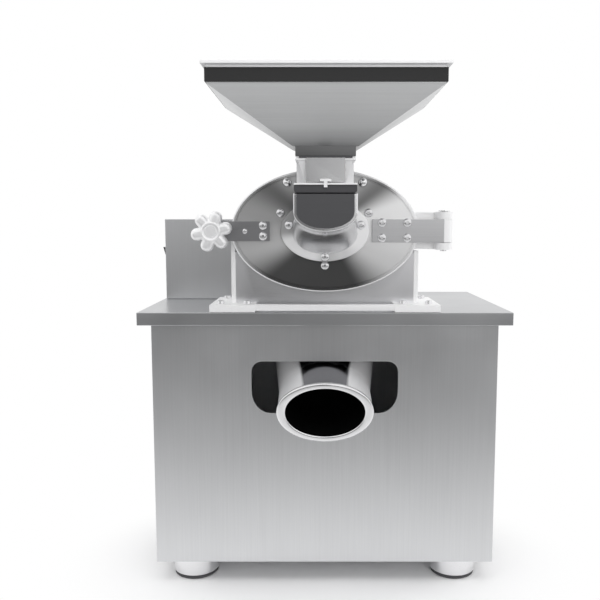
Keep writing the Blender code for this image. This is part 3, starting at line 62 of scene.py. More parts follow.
camera = in_scene("camera", bpy.data.cameras.new("camera"))
camera.data.lens = CAMERA_LENS
camera.data.sensor_width = 36.0
camera.data.shift_x = CAMERA_SHIFT
camera.data.clip_start = 0.01
camera.location = CAMERA_PLACE
camera.rotation_euler = (math.radians(90 - CAMERA_DIP), 0, 0)
bpy.context.scene.camera = camera
bpy.context.scene.view_settings.view_transform = "Standard"

# The studio: a white room that the metal mirrors, a pale floor that is plain white away from
# the machine, softboxes above and at the sides, and cards behind the camera for reflections.
WHITE = (1.0, 1.0, 1.0, 1)
ROOM_LIGHT = (0.50, 0.50, 0.51, 1)
FLOOR_TONE = (0.95, 0.95, 0.95, 1)
FLOOR_HALF_WIDTH = 6
FLOOR_SQUEEZE = (2.1, 3.2, 0)
FLOOR_NEAR, FLOOR_AWAY = 0.36, 0.88
CARD_Y, CARD_HALF_WIDTH, CARD_GAP = -2.3, 4.5, 0.004
MAT_END = -0.14


def feed(tree, node, values):
    """Sets a node's inputs to values, or links them to sockets."""
    for key, value in dict(values).items():
        if isinstance(value, bpy.types.NodeSocket):
            tree.links.new(value, node.inputs[key])
        else:
            node.inputs[key].default_value = value


def add(tree, kind, values=(), **settings):
    """A new node with its settings and inputs."""
    made = tree.nodes.new(kind)
    for key, value in settings.items():
        setattr(made, key, value)
    feed(tree, made, values)
    return made


def reckoned(tree, operation, *values):
    """The result of one operation on numbers."""
    return add(tree, "ShaderNodeMath", dict(enumerate(values)), operation=operation).outputs[0]


def split(tree, place):
    """The X, Y and Z of a place."""
    return add(tree, "ShaderNodeSeparateXYZ", {0: place}).outputs


def stretched(tree, value, low, high, to_low=0.0, to_high=1.0):
    """A value's span low to high carried to another span."""
    spans = {"Value": value, "From Min": low, "From Max": high, "To Min": to_low, "To Max": to_high}
    return add(tree, "ShaderNodeMapRange", spans).outputs[0]


def between(tree, low, high, factor):
    """A colour between two, by a factor that varies over the surface."""
    made = add(tree, "ShaderNodeMix", {"Factor": factor}, data_type="RGBA")
    for index, colour in ((6, low), (7, high)):
        if not isinstance(colour, bpy.types.NodeSocket):
            colour = (*(min(1.0, c) for c in colour[:3]), 1)
        feed(tree, made, {index: colour})
    return made.outputs[2]


def toned(tree, value, tones, blend="LINEAR"):
    """Greys that run with a value through (value, tone) pairs."""
    (low, first), (high, last) = tones[0], tones[-1]
    ramp = add(tree, "ShaderNodeValToRGB", {0: stretched(tree, value, low, high)})
    ramp.color_ramp.interpolation = blend
    stops = ramp.color_ramp.elements
    stops[0].color, stops[1].color = (first, first, first, 1), (last, last, last, 1)
    for spot, tone in tones[1:-1]:
        stops.new((spot - low) / (high - low)).color = (tone, tone, tone, 1)
    return ramp.outputs[0]


def room_colour(tree):
    """White for a ray that shows the room itself, to the camera, in a mirror or through glass."""
    path = add(tree, "ShaderNodeLightPath").outputs
    seen = reckoned(tree, "MAXIMUM", path["Is Camera Ray"], path["Is Glossy Ray"])
    seen = reckoned(tree, "MAXIMUM", seen, path["Is Transmission Ray"])
    return between(tree, ROOM_LIGHT, WHITE, seen)


def workings(look):
    """A material's tree, its shader and the place on the piece."""
    tree = look.node_tree
    place = add(tree, "ShaderNodeTexCoord").outputs["Object"]
    return tree, tree.nodes["Principled BSDF"], place


def new_look(name):
    """A new material and its workings."""
    look = bpy.data.materials.new(name)
    look.use_nodes = True
    return look, *workings(look)


def studio_surface(name, corners):
    """A flat matt surface of the studio, with its material's tree and the place on it."""
    mesh = bpy.data.meshes.new(name)
    mesh.from_pydata(corners, [], [(0, 1, 2, 3)])
    made = in_scene(name, mesh)
    look, tree, shader, place = new_look(name)
    feed(tree, shader, {"Base Color": FLOOR_TONE, "Roughness": 0.9, "Specular IOR Level": 0.0})
    mesh.materials.append(look)
    return made, tree, place


def reflector(name, corners, axis, tones):
    """A card that only polished surfaces see, its tone running along an axis."""
    made, tree, place = studio_surface(name, corners)
    for ray in ("camera", "diffuse", "transmission", "volume_scatter", "shadow"):
        setattr(made, "visible_" + ray, False)
    glow = add(tree, "ShaderNodeEmission", {"Color": toned(tree, split(tree, place)[axis], tones)})
    feed(tree, tree.nodes["Material Output"], {"Surface": glow.outputs[0]})


def level_at(height, half_width, front, back):
    """The corners of a level rectangle."""
    x = half_width
    return [(-x, front, height), (x, front, height), (x, back, height), (-x, back, height)]


def upright_card(low, high):
    """The corners of a card behind the camera, between two heights."""
    x, y = CARD_HALF_WIDTH, CARD_Y
    return [(-x, y, low), (x, y, low), (x, y, high), (-x, y, high)]


def softbox(name, place, aim_height, width, height, power):
    """An even light on the machine that leaves no spot on the metal."""
    lamp = bpy.data.lights.new(name, "AREA")
    lamp.shape = "RECTANGLE"
    lamp.size = width
    lamp.size_y = height
    lamp.energy = power
    made = in_scene(name, lamp)
    made.location = place
    towards = Vector((0.0, 0.0, aim_height)) - Vector(place)
    made.rotation_euler = towards.to_track_quat("-Z", "Y").to_euler()
    made.visible_glossy = False


world = bpy.data.worlds.new("studio")
bpy.context.scene.world = world
world.use_nodes = True
tree = world.node_tree
feed(tree, tree.nodes["Background"], {"Color": room_colour(tree)})

corners = level_at(0, FLOOR_HALF_WIDTH, -FLOOR_HALF_WIDTH, FLOOR_HALF_WIDTH)
tree, place = studio_surface("floor", corners)[1:]
squeeze = add(tree, "ShaderNodeMapping", {"Vector": place, "Scale": FLOOR_SQUEEZE}).outputs[0]
reach = add(tree, "ShaderNodeVectorMath", {0: squeeze}, operation="LENGTH").outputs["Value"]
away = {"Value": reach, "From Min": FLOOR_NEAR, "From Max": FLOOR_AWAY}
away = add(tree, "ShaderNodeMapRange", away, interpolation_type="SMOOTHSTEP").outputs[0]
glow = add(tree, "ShaderNodeEmission", {"Color": room_colour(tree)}).outputs[0]
blend = {0: away, 1: tree.nodes["Principled BSDF"].outputs[0], 2: glow}
blend = add(tree, "ShaderNodeMixShader", blend).outputs[0]
feed(tree, tree.nodes["Material Output"], {"Surface": blend})

mat = level_at(CARD_GAP, CARD_HALF_WIDTH, CARD_Y, MAT_END)
tones = [(CARD_Y, 0.16), (-1.4, 0.28), (-0.7, 0.55), (-0.3, 0.88), (MAT_END, 1.0)]
reflector("camera_side_mat", mat, "Y", tones)
reflector("camera_side_low_card", upright_card(CARD_GAP, 0.34), "Z", [(0.0, 0.14), (0.34, 0.10)])
tones = [(-4.5, 0.60), (-0.42, 0.55), (-0.16, 0.06), (0.02, 0.06), (0.22, 1.0), (4.5, 1.0)]
reflector("camera_side_high_card", upright_card(0.34, 1.08), "X", tones)

softbox("overhead", (0.0, -0.4, 2.3), 0.3, 2.4, 2.0, 30)
softbox("left", (-1.9, 0.1, 0.9), 0.4, 1.2, 1.5, 5)
softbox("right", (1.9, 0.1, 0.9), 0.4, 1.2, 1.5, 8)
softbox("fill", (0.3, -2.0, 0.9), 0.4, 1.2, 1.5, 10)

# Cabinet shell: one sheet of 2 mm stainless bent at the two front corners, ground with an
# upright grain, with the discharge window cut in its front and folded flanges at the back.
# The floor tray of the same sheet is screwed in below.
UPRIGHT_GRAIN = (430.0, 430.0, 7.0)
SATIN = (0.60, 0.605, 0.615)
SHARP_ANGLE = math.radians(32)


def noise(tree, place, scale, detail, roughness=0.5):
    """Fractal noise over the surface."""
    values = {"Vector": place, "Scale": scale, "Detail": detail, "Roughness": roughness}
    return add(tree, "ShaderNodeTexNoise", values).outputs["Fac"]


def edge_mask(tree, low=0.51, high=0.60):
    """1 along the outer edges and 0 on the flats."""
    edge = add(tree, "ShaderNodeNewGeometry").outputs["Pointiness"]
    return stretched(tree, edge, low, high)


def relief(tree, strength, depth, height):
    """The normals of a surface with a fine relief."""
    values = {"Strength": strength, "Distance": depth, "Height": height}
    return add(tree, "ShaderNodeBump", values).outputs[0]


def finish_metal(tree, shader, place, lines, colour, roughness, contrast, depth, metallic):
    """Tone, haze and relief of a worked surface, its colour brighter along its outer edges."""
    low, high, edge_tone = ([c * k for c in colour] for k in (1 - contrast, 1 + contrast, 1.25))
    tone = between(tree, low, high, stretched(tree, lines, 0.25, 0.75))
    clouds = noise(tree, place, 11.0, 3.0)
    feed(tree, shader, {
        "Metallic": metallic,
        "Base Color": between(tree, tone, edge_tone, edge_mask(tree)),
        "Roughness": stretched(tree, clouds, 0.3, 0.7, roughness * 0.9, roughness * 1.12),
        "Normal": relief(tree, 0.4, depth, lines),
    })


def ground_steel(name, colour, roughness, grain, contrast=0.08, depth=0.00005, metallic=1.0):
    """Steel ground along one direction: grain is how finely the lines run along X, Y and Z."""
    look, tree, shader, place = new_look(name)
    along = add(tree, "ShaderNodeMapping", {"Vector": place, "Scale": grain}).outputs[0]
    lines = noise(tree, along, 1.0, 5.0, 0.65)
    finish_metal(tree, shader, place, lines, colour, roughness, contrast, depth, metallic)
    return look


def mesh_of(name, bm):
    """The mesh of a shape under construction."""
    mesh = bpy.data.meshes.new(name)
    bm.to_mesh(mesh)
    bm.free()
    return mesh


def evaluated(made):
    """An object with its modifiers worked out."""
    return made.evaluated_get(bpy.context.evaluated_depsgraph_get())


def shown(name, bm, looks, body, nodes=()):
    """A finished piece on a body, in place of CAD nodes: smooth, its flats true to their edges."""
    mesh = mesh_of(name, bm)
    mesh.shade_smooth()
    mesh.set_sharp_from_angle(angle=SHARP_ANGLE)
    for look in looks if isinstance(looks, list) else [looks]:
        mesh.materials.append(look)
    made = in_scene(name, mesh)
    flatten = made.modifiers.new("flatten", "WEIGHTED_NORMAL")
    flatten.keep_sharp = True
    made.data = bpy.data.meshes.new_from_object(evaluated(made))
    made.data.name = name
    made.modifiers.remove(flatten)
    bpy.data.meshes.remove(mesh)
    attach(made, body)
    if nodes:
        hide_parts(*nodes)
    return made


def break_edges(bm, width, segments=2, angle=30):
    """Takes the sharpness off every edge that turns by more than the angle."""
    limit = math.radians(angle)
    folds = [edge for edge in bm.edges if len(edge.link_faces) == 2]
    sharp = [edge for edge in folds if edge.calc_face_angle(0) > limit]
    bmesh.ops.bevel(
        bm, geom=sharp, offset=width, offset_type="OFFSET", segments=segments, profile=0.5,
        affect="EDGES", clamp_overlap=True,
    )


def merged(bm):
    """Joins the points of a mesh that lie together."""
    bmesh.ops.remove_doubles(bm, verts=bm.verts, dist=1e-6)
    return bm


def solid_of(node):
    """A CAD node's own solid, its triangles merged back into flat faces."""
    bm = bmesh.new()
    bm.from_mesh(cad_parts[node].data)
    merged(bm)
    flat = math.radians(0.6)
    bmesh.ops.dissolve_limit(bm, angle_limit=flat, verts=bm.verts, edges=bm.edges)
    return bm


def dressed(node, name, look, body, width=0.0005):
    """The CAD node's solid with its edges broken."""
    bm = solid_of(node)
    break_edges(bm, width)
    return shown(name, bm, look, body, (node,))


satin_steel = ground_steel("satin_steel_upright", SATIN, 0.31, UPRIGHT_GRAIN)
dressed("cabinet_shell", "cabinet_shell_sheet", satin_steel, "frame", 0.0006)
dressed("cabinet_floor", "cabinet_floor_tray", satin_steel, "frame")

# Table top: a sheet folded down on all four sides and ground lengthways, with an opening
# for the discharge throat and a slot for the belts. It drops over the cabinet shell.
LENGTHWAYS_GRAIN = (7.0, 430.0, 430.0)
TABLE_SHADED_TONE = (0.45, 0.455, 0.465)


def middle_of(node):
    """The centre of a CAD node's box."""
    low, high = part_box(node)
    return (low + high) / 2


# Darker than the cabinet's steel: painted shade for the dark that the top mirrors.
table_steel = ground_steel("satin_steel_lengthways", TABLE_SHADED_TONE, 0.31, LENGTHWAYS_GRAIN)
dressed("table_top", "table_top_sheet", table_steel, "frame", 0.0008)
table_low, table_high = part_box("table_top")
HOME = Vector((*middle_of("table_top").xy, 0))
TABLE = table_high.z

# Rear panel: a flat sheet screwed to the shell's flanges, with ten louvres pressed out over
# its slots so that the motor breathes without letting flour fall in.
LOUVRE_HALF_LENGTH = 0.059
LOUVRE_RISE = 0.0075
LOUVRE_DROP = 0.0075
LOUVRE_SHEET = 0.0012
LOUVRE_MIDDLE = 0.105
LOUVRE_PITCH = 0.022
LOUVRE_MOUTH = -0.02


def tree_for(name, sizes):
    """A Geometry Nodes tree that takes points, a material and named sizes, listed by kind."""
    tree = bpy.data.node_groups.new(name, "GeometryNodeTree")
    tree.is_modifier = True
    for kind, names in {"Geometry": ["Geometry"], **sizes, "Material": ["Material"]}.items():
        for size in names:
            tree.interface.new_socket(size, in_out="INPUT", socket_type="NodeSocket" + kind)
    tree.interface.new_socket("Geometry", in_out="OUTPUT", socket_type="NodeSocketGeometry")
    return tree, tree.nodes.new("NodeGroupInput").outputs


def end_tree(tree, given, part, turn=()):
    """Sets the part on every point, makes the copies real, colours them and closes the tree."""
    placed = {"Points": given["Geometry"], "Instance": part, **dict(turn)}
    placed = add(tree, "GeometryNodeInstanceOnPoints", placed).outputs[0]
    real = add(tree, "GeometryNodeRealizeInstances", {0: placed}).outputs[0]
    coloured = {"Geometry": real, "Material": given["Material"]}
    coloured = add(tree, "GeometryNodeSetMaterial", coloured).outputs[0]
    tree.links.new(coloured, tree.nodes.new("NodeGroupOutput").inputs[0])


def grown(name, tree, points, look, sizes):
    """Runs a tree over points and keeps the result as a shape under construction."""
    seeds = bpy.data.meshes.new(name + "_points")
    seeds.from_pydata([tuple(point) for point in points], [], [])
    holder = in_scene(name + "_points", seeds)
    step = holder.modifiers.new("grow", "NODES")
    step.node_group = tree
    values = {**sizes, "Material": look}
    for item in tree.interface.items_tree:
        if item.in_out == "INPUT" and item.name in values:
            step[item.identifier] = values[item.name]
    mesh = bpy.data.meshes.new_from_object(evaluated(holder))
    holder.modifiers.remove(step)
    bpy.data.objects.remove(holder)
    bm = bmesh.new()
    bm.from_mesh(mesh)
    bpy.data.meshes.remove(mesh)
    return bm


# A louvre is a scoop: a ball squeezed to the slot's length, its lower half left open.
tree, given = tree_for("pressed louvres", {"Float": ("Half Length", "Rise", "Drop", "Sheet")})
louvre_tree = tree
ball = {"Segments": 48, "Rings": 24, "Radius": 1.0}
ball = add(tree, "GeometryNodeMeshUVSphere", ball).outputs["Mesh"]
spot = split(tree, add(tree, "GeometryNodeInputPosition").outputs[0])
less = {"data_type": "FLOAT", "operation": "LESS_THAN"}
under = add(tree, "FunctionNodeCompare", {0: spot["Z"], 1: LOUVRE_MOUTH}, **less).outputs[0]
behind = add(tree, "FunctionNodeCompare", {0: spot["Y"], 1: LOUVRE_MOUTH}, **less).outputs[0]
gone = add(tree, "FunctionNodeBooleanMath", {0: under, 1: behind}, operation="OR").outputs[0]
scoop = {"Geometry": ball, "Selection": gone}
scoop = add(tree, "GeometryNodeDeleteGeometry", scoop, domain="FACE").outputs[0]
scale = {"X": given["Half Length"], "Y": given["Rise"], "Z": given["Drop"]}
scale = add(tree, "ShaderNodeCombineXYZ", scale).outputs[0]
scoop = add(tree, "GeometryNodeTransform", {"Geometry": scoop, "Scale": scale}).outputs[0]
walls = {"Mesh": scoop, "Offset Scale": given["Sheet"], "Individual": False}
walls = add(tree, "GeometryNodeExtrudeMesh", walls, mode="FACES").outputs["Mesh"]
inner = add(tree, "GeometryNodeFlipFaces", {0: scoop}).outputs[0]
hood = add(tree, "GeometryNodeJoinGeometry")
tree.links.new(walls, hood.inputs[0])
tree.links.new(inner, hood.inputs[0])
end_tree(tree, given, hood.outputs[0])

panel_low, panel_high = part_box("rear_panel")
dressed("rear_panel", "rear_panel_sheet", satin_steel, "frame")
quarter = (panel_high.x - panel_low.x) / 4
columns = (panel_low.x + quarter, panel_high.x - quarter)
rows = [LOUVRE_MIDDLE + LOUVRE_PITCH * row for row in range(-2, 3)]
points = [(x, panel_high.y, z) for x in columns for z in rows]
sizes = {
    "Half Length": LOUVRE_HALF_LENGTH, "Rise": LOUVRE_RISE, "Drop": LOUVRE_DROP,
    "Sheet": LOUVRE_SHEET,
}
louvres = merged(grown("louvres", louvre_tree, points, satin_steel, sizes))
shown("rear_panel_louvres", louvres, satin_steel, "frame")

# Screws: button, socket and hexagon heads, one tree for all. A head is a dome or a low cone,
# with a six-sided hole or none, set upright on its point and turned to the way it faces.
tree, given = tree_for("screw heads", {
    "Vector": ("Facing",), "Bool": ("Domed",), "Int": ("Sides",),
    "Float": ("Radius", "Height", "Crown", "Socket Radius", "Socket Depth"),
})
screw_tree = tree
cone = {
    "Vertices": given["Sides"], "Radius Bottom": given["Radius"], "Depth": given["Height"],
    "Radius Top": reckoned(tree, "MULTIPLY", given["Radius"], given["Crown"]),
}
cone = add(tree, "GeometryNodeMeshCone", cone).outputs["Mesh"]
ball = {"Segments": given["Sides"], "Rings": 14, "Radius": 1.0}
ball = add(tree, "GeometryNodeMeshUVSphere", ball).outputs["Mesh"]
span = {"X": given["Radius"], "Y": given["Radius"], "Z": given["Height"]}
span = add(tree, "ShaderNodeCombineXYZ", span).outputs[0]
dome = add(tree, "GeometryNodeTransform", {"Geometry": ball, "Scale": span}).outputs[0]
solid = {"Switch": given["Domed"], "False": cone, "True": dome}
solid = add(tree, "GeometryNodeSwitch", solid, input_type="GEOMETRY").outputs[0]
hole = {
    "Vertices": 6, "Radius": given["Socket Radius"],
    "Depth": reckoned(tree, "MULTIPLY", given["Socket Depth"], 2.0),
}
hole = add(tree, "GeometryNodeMeshCylinder", hole).outputs["Mesh"]
lift = add(tree, "ShaderNodeCombineXYZ", {"Z": given["Height"]}).outputs[0]
hole = add(tree, "GeometryNodeTransform", {"Geometry": hole, "Translation": lift}).outputs[0]
solid = {"Mesh 1": solid, "Mesh 2": hole}
solid = add(tree, "GeometryNodeMeshBoolean", solid, operation="DIFFERENCE").outputs["Mesh"]
turn = add(tree, "FunctionNodeAlignRotationToVector", {"Vector": given["Facing"]}, axis="Z")
end_tree(tree, given, solid, {"Rotation": turn.outputs[0]})


def head(sides, radius, height, socket=(0.0, 0.0), crown=0.0):
    """A head's sizes. crown is the share of its radius left on top; without it, it is a dome."""
    return {
        "Domed": not crown, "Sides": sides, "Radius": radius, "Height": height, "Crown": crown,
        "Socket Radius": socket[0], "Socket Depth": socket[1],
    }


def screws(name, points, facing, size, look, body):
    """A group of like screws on one body, all facing one way."""
    bm = merged(grown(name, screw_tree, points, look, {"Facing": facing, **size}))
    break_edges(bm, 0.00025, 1)
    return shown(name, bm, look, body)


def near_corners(node, axis, inset, rows=2):
    """Screw places on a CAD node's far face along X (0) or Y (1), set in from its edges."""
    low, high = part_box(node)
    points = []
    for side in (low[1 - axis] + inset, high[1 - axis] - inset):
        for row in range(rows):
            z = low.z + inset + (high.z - low.z - 2 * inset) * row / (rows - 1)
            points.append((side, high.y, z) if axis else (high.x, side, z))
    return points


FRONT, BACK, UP, RIGHT = (0.0, -1.0, 0.0), (0.0, 1.0, 0.0), (0.0, 0.0, 1.0), (1.0, 0.0, 0.0)
M4 = head(24, 0.0038, 0.0021, (0.0013, 0.0011))
M6 = head(28, 0.0052, 0.0040, (0.0028, 0.0025), 0.90)
BUTTON6 = head(36, 0.0062, 0.0036, (0.0021, 0.0019))
HEX8 = head(6, 0.0078, 0.0050, crown=0.94)
PANEL_SCREW_INSET = 0.010

SCREW_GRAIN = (700.0, 700.0, 700.0)
bright_steel = ground_steel("screw_steel", (0.72, 0.72, 0.73), 0.20, SCREW_GRAIN, 0.10, 0.00002)
points = near_corners("rear_panel", 1, PANEL_SCREW_INSET, 3)
screws("rear_panel_screws", points, BACK, M4, bright_steel, "frame")

# Levelling feet: chrome cups on threaded studs through the floor tray, each with a moulded
# rubber pad pressed in under it. All four are alike, set in from the cabinet's corners.
CUP_TOP = 0.0317
CUP = (
    (0, 0.0053), (0.0322, 0.0053), (0.0335, 0.0068), (0.0335, 0.0302), (0.0318, CUP_TOP),
    (0, CUP_TOP),
)
PAD = ((0, 0), (0.0300, 0), (0.0320, 0.0012), (0.0323, 0.0044), (0.0316, 0.0050), (0, 0.0050))
STUD_RADIUS = 0.006
STUD_LENGTH = 0.019
STUD_PITCH = 0.00125
THREAD_DEPTH = 0.0007

tree, given = tree_for("like parts on points", {"Object": ("Part",)})
copies_tree = tree
part = add(tree, "GeometryNodeObjectInfo", {"Object": given["Part"]}).outputs["Geometry"]
end_tree(tree, given, part)


def loft(rings, joined=False):
    """A skin over rings of equal point counts, capped at both ends or joined end to start."""
    bm = bmesh.new()
    loops = [[bm.verts.new(point) for point in ring] for ring in rings]
    for near, far in zip(loops, loops[1:] + (loops[:1] if joined else [])):
        for i in range(len(near)):
            j = (i + 1) % len(near)
            bm.faces.new((near[i], near[j], far[j], far[i]))
    if not joined:
        bm.faces.new(loops[0])
        bm.faces.new(loops[-1])
    bmesh.ops.recalc_face_normals(bm, faces=bm.faces)
    return bm


def circle(steps=96):
    """Points round a circle of radius 1."""
    turns = [2 * math.pi * i / steps for i in range(steps)]
    return [(math.cos(a), math.sin(a)) for a in turns]


def turned_upright(profile, steps):
    """A solid turned about Z, from (radius, height) points that start and end on it."""
    spokes = circle(steps)
    return loft([[(radius * u, radius * v, z) for u, v in spokes] for radius, z in profile[1:-1]])


def repeated(name, bm, points, look, body, nodes):
    """One part copied to every point by Geometry Nodes."""
    one = in_scene(name + "_one", mesh_of(name + "_one", bm))
    made = grown(name, copies_tree, points, look, {"Part": one})
    bpy.data.objects.remove(one)
    return shown(name, made, look, body, nodes)


def plain_metal(name, colour, roughness, smudge, grain=60.0, bumps=0.0, metallic=1.0):
    """A cast, blasted or chromed metal: cloudy smudges in its gloss and a faint relief."""
    look, tree, shader, place = new_look(name)
    lines = noise(tree, place, grain, 6.0, 0.6)
    finish_metal(tree, shader, place, lines, colour, roughness, smudge, bumps, metallic)
    return look


def moulding(name, colour, roughness, grain, depth):
    """Rubber or plastic from a mould: a fine even texture, greyer in clouds and along its outer
    edges.
    """
    look, tree, shader, place = new_look(name)
    clouds = noise(tree, place, 25.0, 3.0)
    handled, edge_grey = [c * 1.8 + 0.01 for c in colour], [c * 2.5 + 0.02 for c in colour]
    tone = between(tree, colour, handled, stretched(tree, clouds, 0.4, 0.8))
    feed(tree, shader, {
        "Base Color": between(tree, tone, edge_grey, edge_mask(tree)),
        "Roughness": stretched(tree, clouds, 0.3, 0.7, roughness * 0.85, roughness * 1.15),
        "Normal": relief(tree, 0.5, depth, noise(tree, place, grain, 4.0)),
    })
    return look


chrome = plain_metal("chrome_plate", (0.82, 0.82, 0.83), 0.07, 0.03, 30.0, 0.00001)
rubber = moulding("black_rubber_moulding", (0.022, 0.022, 0.024), 0.62, 900.0, 0.00008)
corners = ("front_left", "front_right", "rear_left", "rear_right")
feet = ["foot_" + corner for corner in corners]
pads = ["foot_pad_" + corner for corner in corners]
points = [(*middle_of(foot).xy, 0) for foot in feet]
cup = turned_upright(CUP, 128)
break_edges(cup, 0.0006, 2)
repeated("levelling_feet", cup, points, chrome, "frame", feet)
pad = turned_upright(PAD, 128)
repeated("foot_rubbers", pad, points, rubber, "frame", pads)
root, turns = STUD_RADIUS - THREAD_DEPTH, int(STUD_LENGTH / STUD_PITCH)
thread = [(0, CUP_TOP)]
for turn in range(turns):
    low = CUP_TOP + STUD_PITCH * turn
    thread += [(root, low), (STUD_RADIUS, low + STUD_PITCH / 2)]
stud_top = CUP_TOP + STUD_PITCH * turns
stud = turned_upright([*thread, (root, stud_top), (0, stud_top)], 32)
repeated("foot_studs", stud, points, chrome, "frame", [])

# Motor: a finned frame between an end cover and a fan cover, in hammered machine enamel. It
# stands on the floor tray, turns the larger pulley and cools itself with a moulded fan.
BOX_SCREW_INSET = 0.006

enamel, tree, shader, place = new_look("motor_enamel")
dents = {"Vector": place, "Scale": 260.0}
dents = add(tree, "ShaderNodeTexVoronoi", dents, feature="SMOOTH_F1").outputs["Distance"]
tone = stretched(tree, dents, 0.1, 0.7)
tone = between(tree, (0.10, 0.17, 0.26), (0.14, 0.22, 0.33), tone)
feed(tree, shader, {
    "Base Color": between(tree, tone, (0.30, 0.34, 0.40), edge_mask(tree, 0.53, 0.62)),
    "Roughness": stretched(tree, dents, 0.0, 0.8, 0.28, 0.42),
    "Normal": relief(tree, 0.6, 0.0003, dents),
})
dressed("motor_frame", "motor_finned_frame", enamel, "frame", 0.0006)
dressed("motor_end_cover", "motor_end_bell", enamel, "frame", 0.0006)
dressed("motor_fan_cover", "motor_fan_shroud", enamel, "frame")
dressed("terminal_box", "motor_terminal_box", enamel, "frame", 0.0015)
points = near_corners("terminal_box", 0, BOX_SCREW_INSET)
screws("terminal_box_screws", points, RIGHT, M4, bright_steel, "frame")
plastic = moulding("black_plastic_moulding", (0.016, 0.016, 0.017), 0.32, 700.0, 0.00003)
dressed("cooling_fan", "motor_fan", plastic, "motor_rotor", 0.0003)

# Belt drive: turned steel pulleys with two V-grooves each, two rubber V-belts, and a folded
# guard of stainless sheet over the part that stands above the table.
TURNED = (0.50, 0.50, 0.52)
MOTOR_AXIS = (HOME.x, middle_of("motor_shaft").z)
SPINDLE_AXIS = (HOME.x, middle_of("hammer_rotor").z)


def shaded(tree, shader, tones):
    """Darkens a shader's colour by tones from 0 to 1."""
    tone = shader.inputs["Base Color"].links[0].from_socket
    feed(tree, shader, {"Base Color": between(tree, (0, 0, 0), tone, tones)})


def turned_steel(
    name, colour, roughness, axis, rings=900.0, contrast=0.10, depth=0.00004, metallic=1.0,
    gloss=0.0, painted_gleam=(),
):
    """Steel faced on a lathe: fine rings about an axis along Y, with the bow-tie gleam they give.

    axis is the (x, z) of the turning centre, gloss how strongly the gleam follows the rings, and
    painted_gleam the tones of a painted highlight and shade round that centre, in degrees from +X
    towards +Z.
    """
    look, tree, shader, place = new_look(name)
    centre = (-axis[0], 0.0, -axis[1])
    spoke = add(tree, "ShaderNodeVectorMath", {0: place, 1: centre}, operation="ADD").outputs[0]
    level = {0: spoke, 1: (1.0, 0.0, 1.0)}
    spoke = add(tree, "ShaderNodeVectorMath", level, operation="MULTIPLY").outputs[0]
    radius = add(tree, "ShaderNodeVectorMath", {0: spoke}, operation="LENGTH").outputs["Value"]
    along = add(tree, "ShaderNodeCombineXYZ", {"X": radius, "Y": split(tree, place)["Y"]})
    lines = noise(tree, along.outputs[0], rings, 3.0, 0.6)
    finish_metal(tree, shader, place, lines, colour, roughness, contrast, depth, metallic)
    if gloss:
        shader.inputs["Anisotropic"].default_value = gloss
        carried = {"vector_type": "VECTOR", "convert_from": "OBJECT", "convert_to": "WORLD"}
        carried = add(tree, "ShaderNodeVectorTransform", {0: spoke}, **carried).outputs[0]
        feed(tree, shader, {"Tangent": carried})
    # painted_gleam darkens the colour in sectors round the centre: painted highlight and shade.
    if painted_gleam:
        sides = split(tree, spoke)
        angle = reckoned(tree, "ARCTAN2", sides["Z"], sides["X"])
        angle = stretched(tree, angle, -math.pi, math.pi, -180, 180)
        shaded(tree, shader, toned(tree, angle, painted_gleam, "EASE"))
    return look


motor_turned = turned_steel("motor_turned_steel", TURNED, 0.24, MOTOR_AXIS)
spindle_turned = turned_steel("spindle_turned_steel", TURNED, 0.24, SPINDLE_AXIS)
for node, name, look, body, width in (
    ("motor_shaft", "motor_turned_shaft", motor_turned, "motor_rotor", 0.0005),
    ("motor_pulley", "motor_grooved_pulley", motor_turned, "motor_rotor", 0.0004),
    ("spindle_pulley", "spindle_grooved_pulley", spindle_turned, "spindle", 0.0004),
):
    dressed(node, name, look, body, width)
for side in ("front", "rear"):
    dressed("v_belt_" + side, "v_belt_rubber_" + side, rubber, "frame", 0.0003)
dressed("belt_guard", "belt_guard_sheet", satin_steel, "frame", 0.0006)

# Spindle group: a cast housing on a pedestal with a sealed bearing at each end, the ground
# spindle, and on its nose the hammer rotor under a hexagon nut.
FOOT_PLATE = 0.0103
PEDESTAL_BOLTS = (0.055, 0.022)

cast_steel = plain_metal("ground_casting", (0.55, 0.55, 0.56), 0.31, 0.07, 220.0, 0.00012)
dressed("bearing_housing", "bearing_housing_casting", cast_steel, "frame", 0.0008)
for node, name, body, width in (
    ("bearing_front", "bearing_sealed_front", "frame", 0.0003),
    ("bearing_rear", "bearing_sealed_rear", "frame", 0.0003),
    ("spindle", "spindle_ground_shaft", "spindle", 0.0005),
    ("hammer_rotor", "hammer_rotor_machined", "spindle", 0.0005),
    ("rotor_nut", "rotor_hexagon_nut", "spindle", 0.0005),
):
    dressed(node, name, spindle_turned, body, width)
low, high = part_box("bearing_housing")
pad_top = TABLE + FOOT_PLATE
columns = (HOME.x - PEDESTAL_BOLTS[0], HOME.x + PEDESTAL_BOLTS[0])
rows = (low.y + PEDESTAL_BOLTS[1], high.y - PEDESTAL_BOLTS[1])
points = [(x, y, pad_top) for x in columns for y in rows]
screws("pedestal_bolts", points, UP, HEX8, bright_steel, "frame")

# Chamber stand: two thick foot pads and a tie bar, uprights and a saddle plate, welded and
# bolted through the table top. Pads and uprights are blasted, what lies between is ground.
UPRIGHT_INNER = 0.126
STAND_BOLTS_ASIDE = (-0.146, -0.109, 0.109, 0.146)
STAND_BOLTS_FRONT = 0.128
STAND_BOLTS_APART = 0.072
PLATE_GRAIN = (60.0, 60.0, 480.0)
BLASTED = (0.90, 0.90, 0.905)

